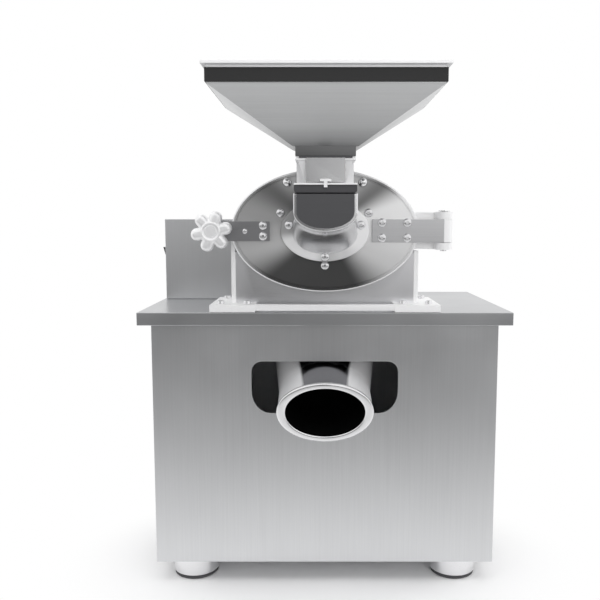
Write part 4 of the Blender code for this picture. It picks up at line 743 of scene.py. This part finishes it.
polished = ground_steel("polished_plate", (0.72, 0.72, 0.735), 0.31, PLATE_GRAIN, 0.05, 0.00003)
blasted_steel = plain_metal("bead_blasted_steel", BLASTED, 0.50, 0.03, 900.0, 0.00003, 0.45)
stand = solid_of("chamber_stand")
break_edges(stand, 0.0006)
for face in stand.faces:
    centre = face.calc_center_median()
    ground = centre.z > pad_top + 0.001 and abs(centre.x - HOME.x) < UPRIGHT_INNER
    face.material_index = 0 if ground else 1
looks = [polished, blasted_steel]
shown("chamber_stand_weldment", stand, looks, "frame", ["chamber_stand"])
points = [
    (HOME.x + x, HOME.y - STAND_BOLTS_FRONT + back, pad_top)
    for back in (0, STAND_BOLTS_APART) for x in STAND_BOLTS_ASIDE
]
screws("chamber_stand_bolts", points, UP, M6, bright_steel, "frame")

# Grinding drum: an oval cup cast in stainless and ground outside. Its floor carries the
# spindle hole and its lowest side opens into the discharge throat.
OVAL_STEPS = 192
axis_z = SPINDLE_AXIS[1]
DRUM_WALL = 0.005
DRUM_BACK_WALL = 0.008
DRUM_FILLET = 0.006
DRUM_INNER_FILLET = 0.004
DRUM_LIP = 0.0005
SPINDLE_HOLE = 0.017
THROAT_HOLE = (0.034, 0.024)


def oval_ring(half_width, half_height, y):
    """An upright oval about the spindle's line."""
    spokes = circle(OVAL_STEPS)
    return [(HOME.x + half_width * u, y, axis_z + half_height * v) for u, v in spokes]


def outline_of(node):
    """Rings of a CAD node's oval outline, by how far they are drawn in and their depth."""
    low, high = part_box(node)
    half = (high - low) / 2
    return lambda inset, y: oval_ring(half.x - inset, half.z - inset, y)


def quarter_round(steps, across, along):
    """The insets and steps of a rounded edge, from its face round to its side."""
    bends = [math.pi / 2 * i / steps for i in range(steps + 1)]
    return [(across * (1 - math.sin(a)), along * (1 - math.cos(a))) for a in bends]


def carved(bm, *tools):
    """A solid less other solids."""
    solids = [in_scene("scratch", mesh_of("scratch", solid)) for solid in (bm, *tools)]
    for tool in solids[1:]:
        step = solids[0].modifiers.new("carve", "BOOLEAN")
        step.operation = "DIFFERENCE"
        step.object = tool
    cut = evaluated(solids[0])
    result = bmesh.new()
    result.from_mesh(cut.to_mesh())
    cut.to_mesh_clear()
    for made in solids:
        mesh = made.data
        bpy.data.objects.remove(made)
        bpy.data.meshes.remove(mesh)
    return result


def block(low, high):
    """A cutting block between two corners."""
    sides = ((low[0], low[1]), (high[0], low[1]), (high[0], high[1]), (low[0], high[1]))
    return loft([[(x, y, z) for x, y in sides] for z in (low[2], high[2])])


low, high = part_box("drum")
outline = outline_of("drum")
inner_floor = high.y - DRUM_BACK_WALL
fillet = quarter_round(6, DRUM_FILLET, DRUM_FILLET)
rings = [oval_ring(SPINDLE_HOLE, SPINDLE_HOLE, high.y)]
rings += [outline(inset, high.y - step) for inset, step in fillet]
for inset, y in (
    (0, low.y + DRUM_LIP), (DRUM_LIP, low.y), (DRUM_WALL - DRUM_LIP, low.y),
    (DRUM_WALL, low.y + DRUM_LIP), (DRUM_WALL, inner_floor - DRUM_INNER_FILLET),
    (DRUM_WALL + DRUM_INNER_FILLET, inner_floor),
):
    rings.append(outline(inset, y))
rings.append(oval_ring(SPINDLE_HOLE, SPINDLE_HOLE, inner_floor))
throat_y = (low.y + high.y) / 2
hole = block(
    (HOME.x - THROAT_HOLE[0], throat_y - THROAT_HOLE[1], low.z - 0.01),
    (HOME.x + THROAT_HOLE[0], throat_y + THROAT_HOLE[1], axis_z - (high.z - low.z) / 4),
)
drum = carved(loft(rings, joined=True), hole)
shown("drum_casting", drum, cast_steel, "frame", ["drum"])

# Sieve: a ring of punched stainless, holes 3 mm wide in even rows, clamped between the drum
# floor and the door. It is what sets how fine the mill grinds.
HOLES_ROUND = 72
HOLES_DEEP = 10
HOLE_SHARE = 0.62
SIEVE_SHEET = 0.0015

tree, given = tree_for("punched ring", {
    "Float": ("Radius", "Width", "Open", "Sheet"), "Int": ("Holes Round", "Holes Deep"),
})
sieve_tree = tree
tube = {
    "Vertices": given["Holes Round"], "Side Segments": given["Holes Deep"],
    "Radius": given["Radius"], "Depth": given["Width"],
}
tube = add(tree, "GeometryNodeMeshCylinder", tube, fill_type="NONE").outputs["Mesh"]
tube = {"Geometry": tube, "Rotation": (math.pi / 2, 0, 0)}
tube = add(tree, "GeometryNodeTransform", tube).outputs[0]
tiles = {"Mesh": tube, "Offset Scale": 0.0, "Individual": True}
tiles = add(tree, "GeometryNodeExtrudeMesh", tiles, mode="FACES").outputs
shrunk = {"Geometry": tiles["Mesh"], "Selection": tiles["Top"], "Scale": given["Open"]}
shrunk = add(tree, "GeometryNodeScaleElements", shrunk, domain="FACE").outputs[0]
punched = {"Geometry": shrunk, "Selection": tiles["Top"]}
punched = add(tree, "GeometryNodeDeleteGeometry", punched, domain="FACE").outputs[0]
rounded = add(tree, "GeometryNodeSubdivisionSurface", {"Mesh": punched, "Level": 1}).outputs[0]
end_tree(tree, given, rounded)

low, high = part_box("sieve_ring")
sizes = {
    "Radius": (high.x - low.x) / 2 - SIEVE_SHEET / 2, "Width": high.y - low.y,
    "Holes Round": HOLES_ROUND, "Holes Deep": HOLES_DEEP, "Open": HOLE_SHARE,
    "Sheet": SIEVE_SHEET,
}
middle = (HOME.x, (low.y + high.y) / 2, axis_z)
sieve = merged(grown("sieve", sieve_tree, [middle], polished, sizes))
bmesh.ops.recalc_face_normals(sieve, faces=sieve.faces)
bmesh.ops.solidify(sieve, geom=sieve.faces, thickness=SIEVE_SHEET)
shown("sieve_punched_ring", sieve, polished, "frame", ["sieve_ring"])

# Discharge chute: a duct rolled and welded from thin sheet. It drops from the drum, widens
# under the table and bends out through the window to a mouth with a rolled rim. The gore in
# front is polished and narrows towards the mouth, its dark colour a painted reflection; the
# sides are blasted, their pale colour partly a painted highlight on the shoulders.
DUCT_STEPS = 128
SHEET = 0.002
THROAT = (0.036, 0.026)
THROAT_SQUARENESS = 8
SQUARENESS_LOST = 5.8
DUCT_HALF_WIDTH = 0.0745
SPOUT = (0.065, 0.044)
SPOUT_BEND = 0.060
SPOUT_SLOPE = math.radians(15)
SPOUT_WIDENING = 0.012
SPOUT_REACH = 0.0465
SPOUT_CENTRE_HEIGHT = 0.2657
RIM_LENGTH = 0.007
WIDENING_STEPS = 8
BEND_STEPS = 20
GORE_NARROW = (0.3065, 0.030)
GORE_WIDE = (0.335, 0.040)
GORE_FADE = 0.0022
CABINET_FRONT = table_low.y + 0.016

end_lean = math.pi / 2 - SPOUT_SLOPE
bend_end_y = throat_y - SPOUT_BEND * (1 - math.cos(end_lean))
mouth_y = CABINET_FRONT - SPOUT_REACH
rise = (bend_end_y - mouth_y) * math.tan(SPOUT_SLOPE)
bend_top = SPOUT_CENTRE_HEIGHT + rise + SPOUT_BEND * math.sin(end_lean)
rim_y = mouth_y + RIM_LENGTH * math.cos(SPOUT_SLOPE)
rim_z = SPOUT_CENTRE_HEIGHT + RIM_LENGTH * math.sin(SPOUT_SLOPE)


def duct_ring(y, z, lean, half_width, half_depth, squareness=2.0):
    """A section of the duct, leaning from level (0) towards upright (a quarter turn)."""
    points = []
    for c, s in circle(DUCT_STEPS):
        u = half_width * math.copysign(abs(c) ** (2 / squareness), c)
        v = half_depth * math.copysign(abs(s) ** (2 / squareness), s)
        points.append((HOME.x + u, y + v * math.cos(lean), z - v * math.sin(lean)))
    return points


def duct_sections(inset):
    """The duct's sections from the drum to the rim, drawn in by an inset."""
    half_width, half_height = DUCT_HALF_WIDTH - inset, SPOUT[1] - inset
    throat = (THROAT[0] - inset, THROAT[1] - inset)
    top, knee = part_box("discharge_chute")[1].z, TABLE - SHEET - SPOUT_WIDENING
    shoulder = bend_top + SPOUT_WIDENING
    rings = [duct_ring(throat_y, z, 0, *throat, THROAT_SQUARENESS) for z in (top, knee)]
    for i in range(1, WIDENING_STEPS + 1):
        t = i / WIDENING_STEPS
        width = throat[0] + (half_width - throat[0]) * t
        depth = throat[1] + (half_height - throat[1]) * t
        z = knee + (shoulder - knee) * t
        squareness = THROAT_SQUARENESS - SQUARENESS_LOST * t**0.5
        rings.append(duct_ring(throat_y, z, 0, width, depth, squareness))
    for i in range(BEND_STEPS + 1):
        lean = end_lean * i / BEND_STEPS
        y = throat_y - SPOUT_BEND * (1 - math.cos(lean))
        z = bend_top - SPOUT_BEND * math.sin(lean)
        width = half_width - (DUCT_HALF_WIDTH - SPOUT[0]) * i / BEND_STEPS
        rings.append(duct_ring(y, z, lean, width, half_height))
    rings.append(duct_ring(rim_y, rim_z, end_lean, SPOUT[0] - inset, half_height))
    return rings


CHUTE_GRAIN = (90.0, 90.0, 420.0)
chute_steel = ground_steel("chute_painted_dark_gore", (0.19, 0.19, 0.20), 0.20, CHUTE_GRAIN, 0.05, 0.00003)
tree, shader, place = workings(chute_steel)
buffed = shader.inputs["Base Color"].links[0].from_socket
spot = split(tree, place)
aside = reckoned(tree, "ABSOLUTE", reckoned(tree, "SUBTRACT", spot["X"], HOME.x))
half = (GORE_NARROW[0], GORE_WIDE[0], GORE_NARROW[1], GORE_WIDE[1])
past = reckoned(tree, "SUBTRACT", aside, stretched(tree, spot["Z"], *half))
fade = (-GORE_FADE, GORE_FADE)
# Painted reflection and highlight: dark colour in the gore, pale colour on the blasted shoulders.
feed(tree, shader, {
    "Base Color": between(tree, buffed, BLASTED, stretched(tree, past, *fade)),
    "Metallic": stretched(tree, past, *fade, 1.0, 0.45),
    "Roughness": stretched(tree, past, *fade, 0.20, 0.50),
})
# The duct's inside is near black: painted shade inside the duct.
duct_inside_shade = plain_metal("chute_inside_painted_shade", (0.035, 0.035, 0.036), 0.55, 0.15, 90.0, 0.0001)
outer, inner = duct_sections(0), duct_sections(SHEET)
duct = loft(outer + inner[::-1], joined=True)
duct.faces.ensure_lookup_table()
for face in duct.faces[len(outer) * DUCT_STEPS:]:
    face.material_index = 1
looks = [chute_steel, duct_inside_shade]
shown("discharge_duct", duct, looks, "frame", ["discharge_chute"])

RIM_PROUD = 0.0015
RIM_WIDTH = 0.0125
RIM_STEPS = 24
RIM_GAP = 0.0003
ahead = Vector((0, -math.sin(end_lean), -math.cos(end_lean)))
rings = []
for u, v in circle(RIM_STEPS):
    along = 0.5 + 0.5 * math.copysign(abs(u) ** 0.7, u)
    proud = 0.5 + 0.5 * math.copysign(abs(v) ** 0.8, v)
    grow = RIM_PROUD - RIM_WIDTH * (1 - proud)
    grow_up = grow * (SPOUT[1] / SPOUT[0] if grow < 0 else 1)
    step = ahead * (RIM_GAP + RIM_LENGTH * along)
    width, height = SPOUT[0] + grow, SPOUT[1] + grow_up
    rings.append(duct_ring(rim_y + step.y, rim_z + step.z, end_lean, width, height))
bright_rim = plain_metal("buffed_rim", (0.80, 0.80, 0.81), 0.16, 0.05, 40.0, 0.00002)
rim = loft(rings, joined=True)
shown("spout_rolled_rim", rim, bright_rim, "frame", ["spout_rim"])

# Door: an oval disc cast in stainless and faced on a lathe, with a blasted edge, a groove near
# its rim and a spigot that enters the drum. It swings on the hinge at the operator's right.
DOOR_THICKNESS = 0.0162
DOOR_CHAMFER = 0.002
DOOR_BACK_EDGE = 0.001
GROOVE_INSET = 0.005
GROOVE_WIDTH = 0.0016
GROOVE_DEPTH = 0.0012
GROOVE_EDGE = 0.0004
GROOVE_BREAK = 0.0003
SPIGOT_INSET = 0.0093
SPIGOT_EDGE = 0.0006
FEED_HOLE = (0.034, 0.026)
FACED = (300.0, 0.02, 0.00001)
# The door's colour in sectors round the spindle's line: painted highlight and shade, lightest at
# the right, darkest below and up high.
DOOR_PAINTED_GLEAM = (
    (-180, 0.62), (-165, 0.70), (-138, 0.10), (-62, 0.09), (-26, 0.90), (0, 1.0), (19, 0.98),
    (38, 0.22), (62, 0.60), (121, 0.60), (143, 0.20), (166, 0.48), (180, 0.62),
)

low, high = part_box("door")
outline = outline_of("door")
face_y, back_y = low.y, low.y + DOOR_THICKNESS
groove_end = GROOVE_INSET + GROOVE_WIDTH
groove = (
    (groove_end + GROOVE_BREAK, 0), (groove_end, GROOVE_EDGE), (groove_end, GROOVE_DEPTH),
    (GROOVE_INSET, GROOVE_DEPTH), (GROOVE_INSET, GROOVE_EDGE), (GROOVE_INSET - GROOVE_BREAK, 0),
)
face_edge = quarter_round(5, DOOR_CHAMFER, DOOR_CHAMFER)
back_edge = quarter_round(5, DOOR_BACK_EDGE, DOOR_BACK_EDGE)[::-1]
rings = [oval_ring(*FEED_HOLE, face_y)]
rings += [outline(inset, face_y + step) for inset, step in (*groove, *face_edge)]
rings += [outline(inset, back_y - step) for inset, step in back_edge]
rings += [
    outline(SPIGOT_INSET, back_y), outline(SPIGOT_INSET, high.y - SPIGOT_EDGE),
    outline(SPIGOT_INSET + SPIGOT_EDGE, high.y), oval_ring(*FEED_HOLE, high.y),
]
faced_steel = turned_steel(
    "faced_door_steel", (0.97, 0.97, 0.975), 0.31, SPINDLE_AXIS, *FACED, 0.8, 0.6, DOOR_PAINTED_GLEAM,
)
door = loft(rings, joined=True)
door.faces.ensure_lookup_table()
first = len(groove) + 1
last = first + len(face_edge) + len(back_edge) - 1
for face in door.faces[OVAL_STEPS * first:OVAL_STEPS * last]:
    face.material_index = 1
shown("door_faced_disc", door, [faced_steel, blasted_steel], "door", ["door"])
dressed("stator_disc", "stator_ribbed_disc", spindle_turned, "door", 0.0003)

# Inlet flange: an oval ring under the inlet casting, held with socket screws; a few more
# screws and two dome nuts on the door's face hold the parts behind it.
FLANGE_EDGE = 0.002
# The flange's colour in sectors round the spindle's line: painted highlight and shade.
FLANGE_PAINTED_GLEAM = (
    (-180, 0.40), (-165, 0.90), (-115, 0.95), (-85, 0.62), (-50, 0.75), (-20, 1.0), (40, 1.0),
    (70, 0.50), (150, 0.35), (180, 0.40),
)
FLANGE_SCREWS = ((-0.0495, 0.008), (0.0490, 0.008), (0.0, -0.0355))
DOOR_SCREWS = ((-0.0615, 0.0247), (0.0600, 0.0247), (0.0, -0.0480))
DOME_NUTS = ((-0.0520, 0.0660), (0.0520, 0.0660))
DOME = head(36, 0.0066, 0.0062)


def on_axis(places, y):
    """Points round the spindle's line, from (x, z) places."""
    return [(HOME.x + x, y, axis_z + z) for x, z in places]


low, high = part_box("inlet_flange")
outline = outline_of("inlet_flange")
rings = [oval_ring(*FEED_HOLE, low.y)]
for inset, step in ((FLANGE_EDGE, 0), (FLANGE_EDGE * 0.3, FLANGE_EDGE * 0.3), (0, FLANGE_EDGE)):
    rings.append(outline(inset, low.y + step))
rings += [outline(0, high.y), oval_ring(*FEED_HOLE, high.y)]
flange_steel = turned_steel(
    "faced_flange_steel", (0.92, 0.92, 0.925), 0.42, SPINDLE_AXIS, *FACED, 0.5, 0.3,
    FLANGE_PAINTED_GLEAM,
)
flange = loft(rings, joined=True)
shown("inlet_flange_ring", flange, flange_steel, "door", ["inlet_flange"])
points = on_axis(FLANGE_SCREWS, low.y)
screws("inlet_flange_screws", points, FRONT, BUTTON6, bright_steel, "door")
points = on_axis(DOOR_SCREWS, face_y)
screws("door_screws", points, FRONT, BUTTON6, bright_steel, "door")
screws("door_dome_nuts", on_axis(DOME_NUTS, face_y), FRONT, DOME, chrome, "door")

# Inlet casting: a scoop with a U-shaped mouth that flares to the door, ground and buffed
# outside. A dark cover closes its front; a thick black gasket lies under the neck's flange.
CHUTE_HALF_WIDTH = 0.0415
CHUTE_ROOT_HALF_WIDTH = 0.052
CHUTE_ARC = (0.0245, 0.003)
CHUTE_ARC_HEIGHT = (0.025, 0.035)
CHUTE_WALL = 0.004
CHUTE_SECTIONS = 20
ARC_STEPS = 48
THROUGH = 0.01
DARK = (0.066, 0.066, 0.070)


def scoop_rings(inset, root_half_width, top, start, end):
    """U-shaped sections from the front to the door, where the scoop flares."""
    rings = []
    for i in range(CHUTE_SECTIONS + 1):
        t = i / CHUTE_SECTIONS
        flare = t**2
        width = CHUTE_HALF_WIDTH - inset
        width += (root_half_width - width) * flare
        arc = axis_z + CHUTE_ARC[0] + (CHUTE_ARC[1] - CHUTE_ARC[0]) * flare
        height = CHUTE_ARC_HEIGHT[0] + (CHUTE_ARC_HEIGHT[1] - CHUTE_ARC_HEIGHT[0]) * flare - inset
        y = start + (end - start) * t
        straight = CHUTE_HALF_WIDTH - inset + min(0, width - CHUTE_HALF_WIDTH + inset)
        ring = [(HOME.x + straight, y, top), (HOME.x - straight, y, top)]
        for k in range(ARC_STEPS + 1):
            a = math.pi * (1 + k / ARC_STEPS)
            across = straight + (width - straight) * abs(math.sin(a)) ** 0.6
            ring.append((HOME.x + across * math.cos(a), y, arc + height * math.sin(a)))
        rings.append(ring)
    return rings


low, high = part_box("inlet_chute")
scoop = loft(scoop_rings(0, CHUTE_ROOT_HALF_WIDTH, high.z, low.y, high.y))
break_edges(scoop, 0.0016, 3, 60)
way = scoop_rings(CHUTE_WALL, FEED_HOLE[0], high.z + THROUGH, low.y + CHUTE_WALL, high.y)
way.append([(x, y + THROUGH, z) for x, y, z in way[-1]])
scoop = carved(scoop, loft(way))
casting_steel = plain_metal("buffed_casting", (0.78, 0.78, 0.79), 0.17, 0.05, 120.0, 0.00006)
shown("inlet_scoop_casting", scoop, casting_steel, "door", ["inlet_chute"])
dark_plate = ground_steel("dark_coated_plate", DARK, 0.48, LENGTHWAYS_GRAIN, 0.12, 0.00004, 0.25)
dressed("inlet_front_plate", "inlet_cover_plate", dark_plate, "door", 0.0004)
dressed("inlet_gasket", "inlet_rubber_gasket", rubber, "door", 0.0006)

# Neck and feed gate: a blasted square sleeve folded from sheet between two flanges, and the
# slide that shuts it, with an apron bent down in front and a welded T for a finger pull; the
# slide's top bend has the dark plate's colour, a painted shadow line under the neck's flange.
PULL_PROUD = 0.0022
GATE_PAINTED_SHADOW = 0.0035
SHEET_TONE = (0.70, 0.70, 0.71)

bright_sheet = ground_steel("bright_sheet", SHEET_TONE, 0.24, UPRIGHT_GRAIN, 0.06, 0.00003)
dressed("neck", "neck_folded_sleeve", blasted_steel, "door", 0.0004)
gate = solid_of("feed_gate")
break_edges(gate, 0.0003)
low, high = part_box("feed_gate")
# The top bend takes the dark plate's colour: a painted shadow line under the neck's flange.
for face in gate.faces:
    centre = face.calc_center_median()
    if centre.y < low.y + PULL_PROUD:
        face.material_index = 1
    elif centre.z > high.z - GATE_PAINTED_SHADOW:
        face.material_index = 2
looks = [bright_sheet, blasted_steel, dark_plate]
shown("feed_gate_slide", gate, looks, "gate", ["feed_gate"])

# Hopper: four sheets welded into a square funnel with an upright collar, a buffed lip and a
# bottom flange, its colour darker towards the foot: painted shade. A black band round the collar
# under the lip is a painted reflection of the dark that the upright collar mirrors.
HOPPER_LIP = 0.0068
TRIM_DROP = 0.0028
HOPPER_TONE = (0.50, 0.505, 0.51)
HOPPER_PAINTED_SHADE = ((0.0, 0.30), (0.012, 0.42), (0.035, 0.80), (0.075, 1.0))

low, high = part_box("hopper")
hopper_steel = ground_steel("hopper_sheet", HOPPER_TONE, 0.31, LENGTHWAYS_GRAIN, 0.05, 0.00003)
# The hopper's colour darkens towards its foot: painted shade.
tree, shader, place = workings(hopper_steel)
tones = [(low.z + height, tone) for height, tone in HOPPER_PAINTED_SHADE]
shaded(tree, shader, toned(tree, split(tree, place)["Z"], tones))
hopper = solid_of("hopper")
break_edges(hopper, 0.0006)
lip_low = high.z - HOPPER_LIP
parts = hopper.verts[:] + hopper.edges[:] + hopper.faces[:]
bmesh.ops.bisect_plane(hopper, geom=parts, plane_co=(0, 0, lip_low), plane_no=(0, 0, 1))
for face in hopper.faces:
    face.material_index = 1 if face.calc_center_median().z > lip_low else 0
lip_steel = plain_metal("buffed_lip", (0.86, 0.86, 0.865), 0.45, 0.03, 300.0, 0.00002, 0.2)
shown("hopper_welded_sheet", hopper, [hopper_steel, lip_steel], "door", ["hopper"])
# The black band on the collar: a painted reflection of the dark that the upright collar mirrors.
band = moulding("collar_painted_reflection_black", (0.006, 0.006, 0.006), 0.60, 500.0, 0.00004)
band.node_tree.nodes["Principled BSDF"].inputs["Specular IOR Level"].default_value = 0.25
trim = solid_of("hopper_band")
trim_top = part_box("hopper_band")[1].z - 0.001
for vert in trim.verts:
    if vert.co.z > trim_top:
        vert.co.z -= TRIM_DROP
break_edges(trim, 0.0004)
shown("hopper_trim_band", trim, band, "door", ["hopper_band"])

# Latch: a ground plate screwed to the door, a satin-chromed star knob whose stud drops into
# the slotted lug on the drum's side, and that lug.
KNOB_ASIDE = 0.153
KNOB_LOBES = 6
KNOB_TURN = math.radians(12)
LOBE_REACH = 0.0193
LOBE_RADIUS = 0.0087
VALLEY_RADIUS = 0.0172
KNOB_EDGE = 0.0070
KNOB_EDGE_INSET = KNOB_EDGE * 0.8
KNOB_THICKNESS = 0.018
KNOB_NECK = 0.0085
KNOB_GAP = 0.0003
KNOB_HUB = 0.0135
STUD_TIP = 0.022
LATCH_SCREWS = (-0.0851, (0.0077, -0.0067))
LATCH_DOWEL = -0.1100
PLATE_LOOK = (0.33, LENGTHWAYS_GRAIN, 0.08, 0.00004)

plate_steel = ground_steel("ground_plate", (0.58, 0.58, 0.59), *PLATE_LOOK)
# A darker copy of the ground plate for the latch plate: painted shade.
latch_shaded_steel = ground_steel("ground_plate_painted_shade", (0.30, 0.30, 0.31), *PLATE_LOOK)
dressed("latch_plate", "latch_ground_plate", latch_shaded_steel, "door", 0.0008)
dressed("latch_lug", "latch_slotted_lug", cast_steel, "frame", 0.0008)
plate_low, plate_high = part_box("latch_plate")
latch_z = middle_of("latch_plate").z
points = [(HOME.x + LATCH_SCREWS[0], plate_low.y, latch_z + z) for z in LATCH_SCREWS[1]]
screws("latch_plate_screws", points, FRONT, BUTTON6, bright_steel, "door")
points = [(HOME.x + LATCH_DOWEL, plate_low.y, latch_z)]
screws("latch_plate_dowel", points, FRONT, M4, bright_steel, "door")


def star_outline(inset, steps=192):
    """Round lobes on a circle with soft valleys between them, drawn in by an inset."""
    radii = []
    pitch = 2 * math.pi / KNOB_LOBES
    lobe = LOBE_RADIUS - inset
    for i in range(steps):
        off = (2 * math.pi * i / steps - KNOB_TURN + pitch / 2) % pitch - pitch / 2
        across = LOBE_REACH * math.sin(off)
        far = VALLEY_RADIUS - inset
        if abs(across) < lobe:
            far = max(far, LOBE_REACH * math.cos(off) + math.sqrt(lobe**2 - across**2))
        radii.append(far)
    for _ in range(3):
        radii = [(radii[i - 1] + 2 * radii[i] + radii[(i + 1) % steps]) / 4 for i in range(steps)]
    return [(radius * u, radius * v) for radius, (u, v) in zip(radii, circle(steps))]


def knob_ring(outline, y):
    """An outline set upright about the knob's stud."""
    return [(HOME.x - KNOB_ASIDE + u, y, latch_z + v) for u, v in outline]


knob_back = plate_low.y - KNOB_GAP
body_back = knob_back - KNOB_NECK
body_front = body_back - KNOB_THICKNESS
bend = quarter_round(6, KNOB_EDGE_INSET, KNOB_EDGE)
sides = [knob_ring(star_outline(inset), body_back - step) for inset, step in bend]
sides += [knob_ring(star_outline(inset), body_front + step) for inset, step in bend[::-1]]
rim = [Vector(point) for point in star_outline(KNOB_EDGE_INSET)]
hub = [point.normalized() * KNOB_HUB * 0.9 for point in rim]
halfway = [(far + near) / 2 for far, near in zip(rim, hub)]
back = [knob_ring(hub, body_back), knob_ring(halfway, body_back)]
front = [knob_ring(halfway, body_front), knob_ring(hub, body_front)]
knob = loft(back + sides + front)
stud_end = plate_high.y + STUD_TIP
shaft = (
    (KNOB_HUB * 0.55, body_front - 0.002), (KNOB_HUB * 0.62, body_front - 0.0012),
    (KNOB_HUB * 0.72, body_front - 0.0012), (KNOB_HUB * 0.85, body_front - 0.002),
    (KNOB_HUB * 0.95, body_front - 0.0012), (KNOB_HUB, body_front + 0.001),
    (KNOB_HUB, body_back - 0.002), (KNOB_HUB * 0.75, body_back + 0.002),
    (KNOB_HUB * 0.75, knob_back), (0.005, knob_back), (0.005, stud_end - 0.0008),
    (0.0042, stud_end),
)
spokes = circle(64)
stem = loft([knob_ring([(r * u, r * v) for u, v in spokes], y) for r, y in shaft])
mesh = mesh_of("stem", stem)
knob.from_mesh(mesh)
bpy.data.meshes.remove(mesh)
satin_chrome = plain_metal("satin_chrome", (0.93, 0.93, 0.935), 0.31, 0.02, 60.0, 0.00002, 0.55)
shown("star_knob_chromed", knob, satin_chrome, "knob", ["star_knob"])

# Hinge: a ground strap screwed to the door, its blasted knuckle rolled round the pin between
# the two ears of a bracket on the drum's side.
KNUCKLE_REACH = 0.006
STRAP_SCREWS = [(x, z) for x in (0.0783, 0.1128) for z in (0.0112, -0.0095)]

strap = solid_of("hinge_strap")
break_edges(strap, 0.0008)
knuckle_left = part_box("hinge_pin")[0].x - KNUCKLE_REACH
for face in strap.faces:
    face.material_index = 1 if face.calc_center_median().x > knuckle_left else 0
looks = [plate_steel, blasted_steel]
shown("hinge_ground_strap", strap, looks, "door", ["hinge_strap"])
dressed("hinge_bracket", "hinge_eared_bracket", blasted_steel, "frame", 0.0008)
dressed("hinge_pin", "hinge_headed_pin", chrome, "frame", 0.0004)
points = on_axis(STRAP_SCREWS, plate_low.y)
screws("hinge_strap_screws", points, FRONT, BUTTON6, bright_steel, "door")

# Control box: a folded stainless box on the table's left rear corner, its back closed by a
# screwed cover, with a black rocker switch in its left side.
COVER_SCREW_INSET = 0.008

dressed("control_box", "control_box_sheet", satin_steel, "frame", 0.0008)
dressed("control_box_cover", "control_box_rear_cover", satin_steel, "frame")
points = near_corners("control_box_cover", 1, COVER_SCREW_INSET)
screws("control_box_screws", points, BACK, M4, bright_steel, "frame")
dressed("switch_bezel", "switch_moulded_bezel", plastic, "frame", 0.0006)
dressed("switch_rocker", "switch_moulded_rocker", plastic, "rocker", 0.0006)

# Cable gland: a nut and a cone moulded in black plastic, screwed into the rear panel. No cord
# is seen, so none is made.
dressed("cable_gland", "cable_gland_moulding", plastic, "frame")
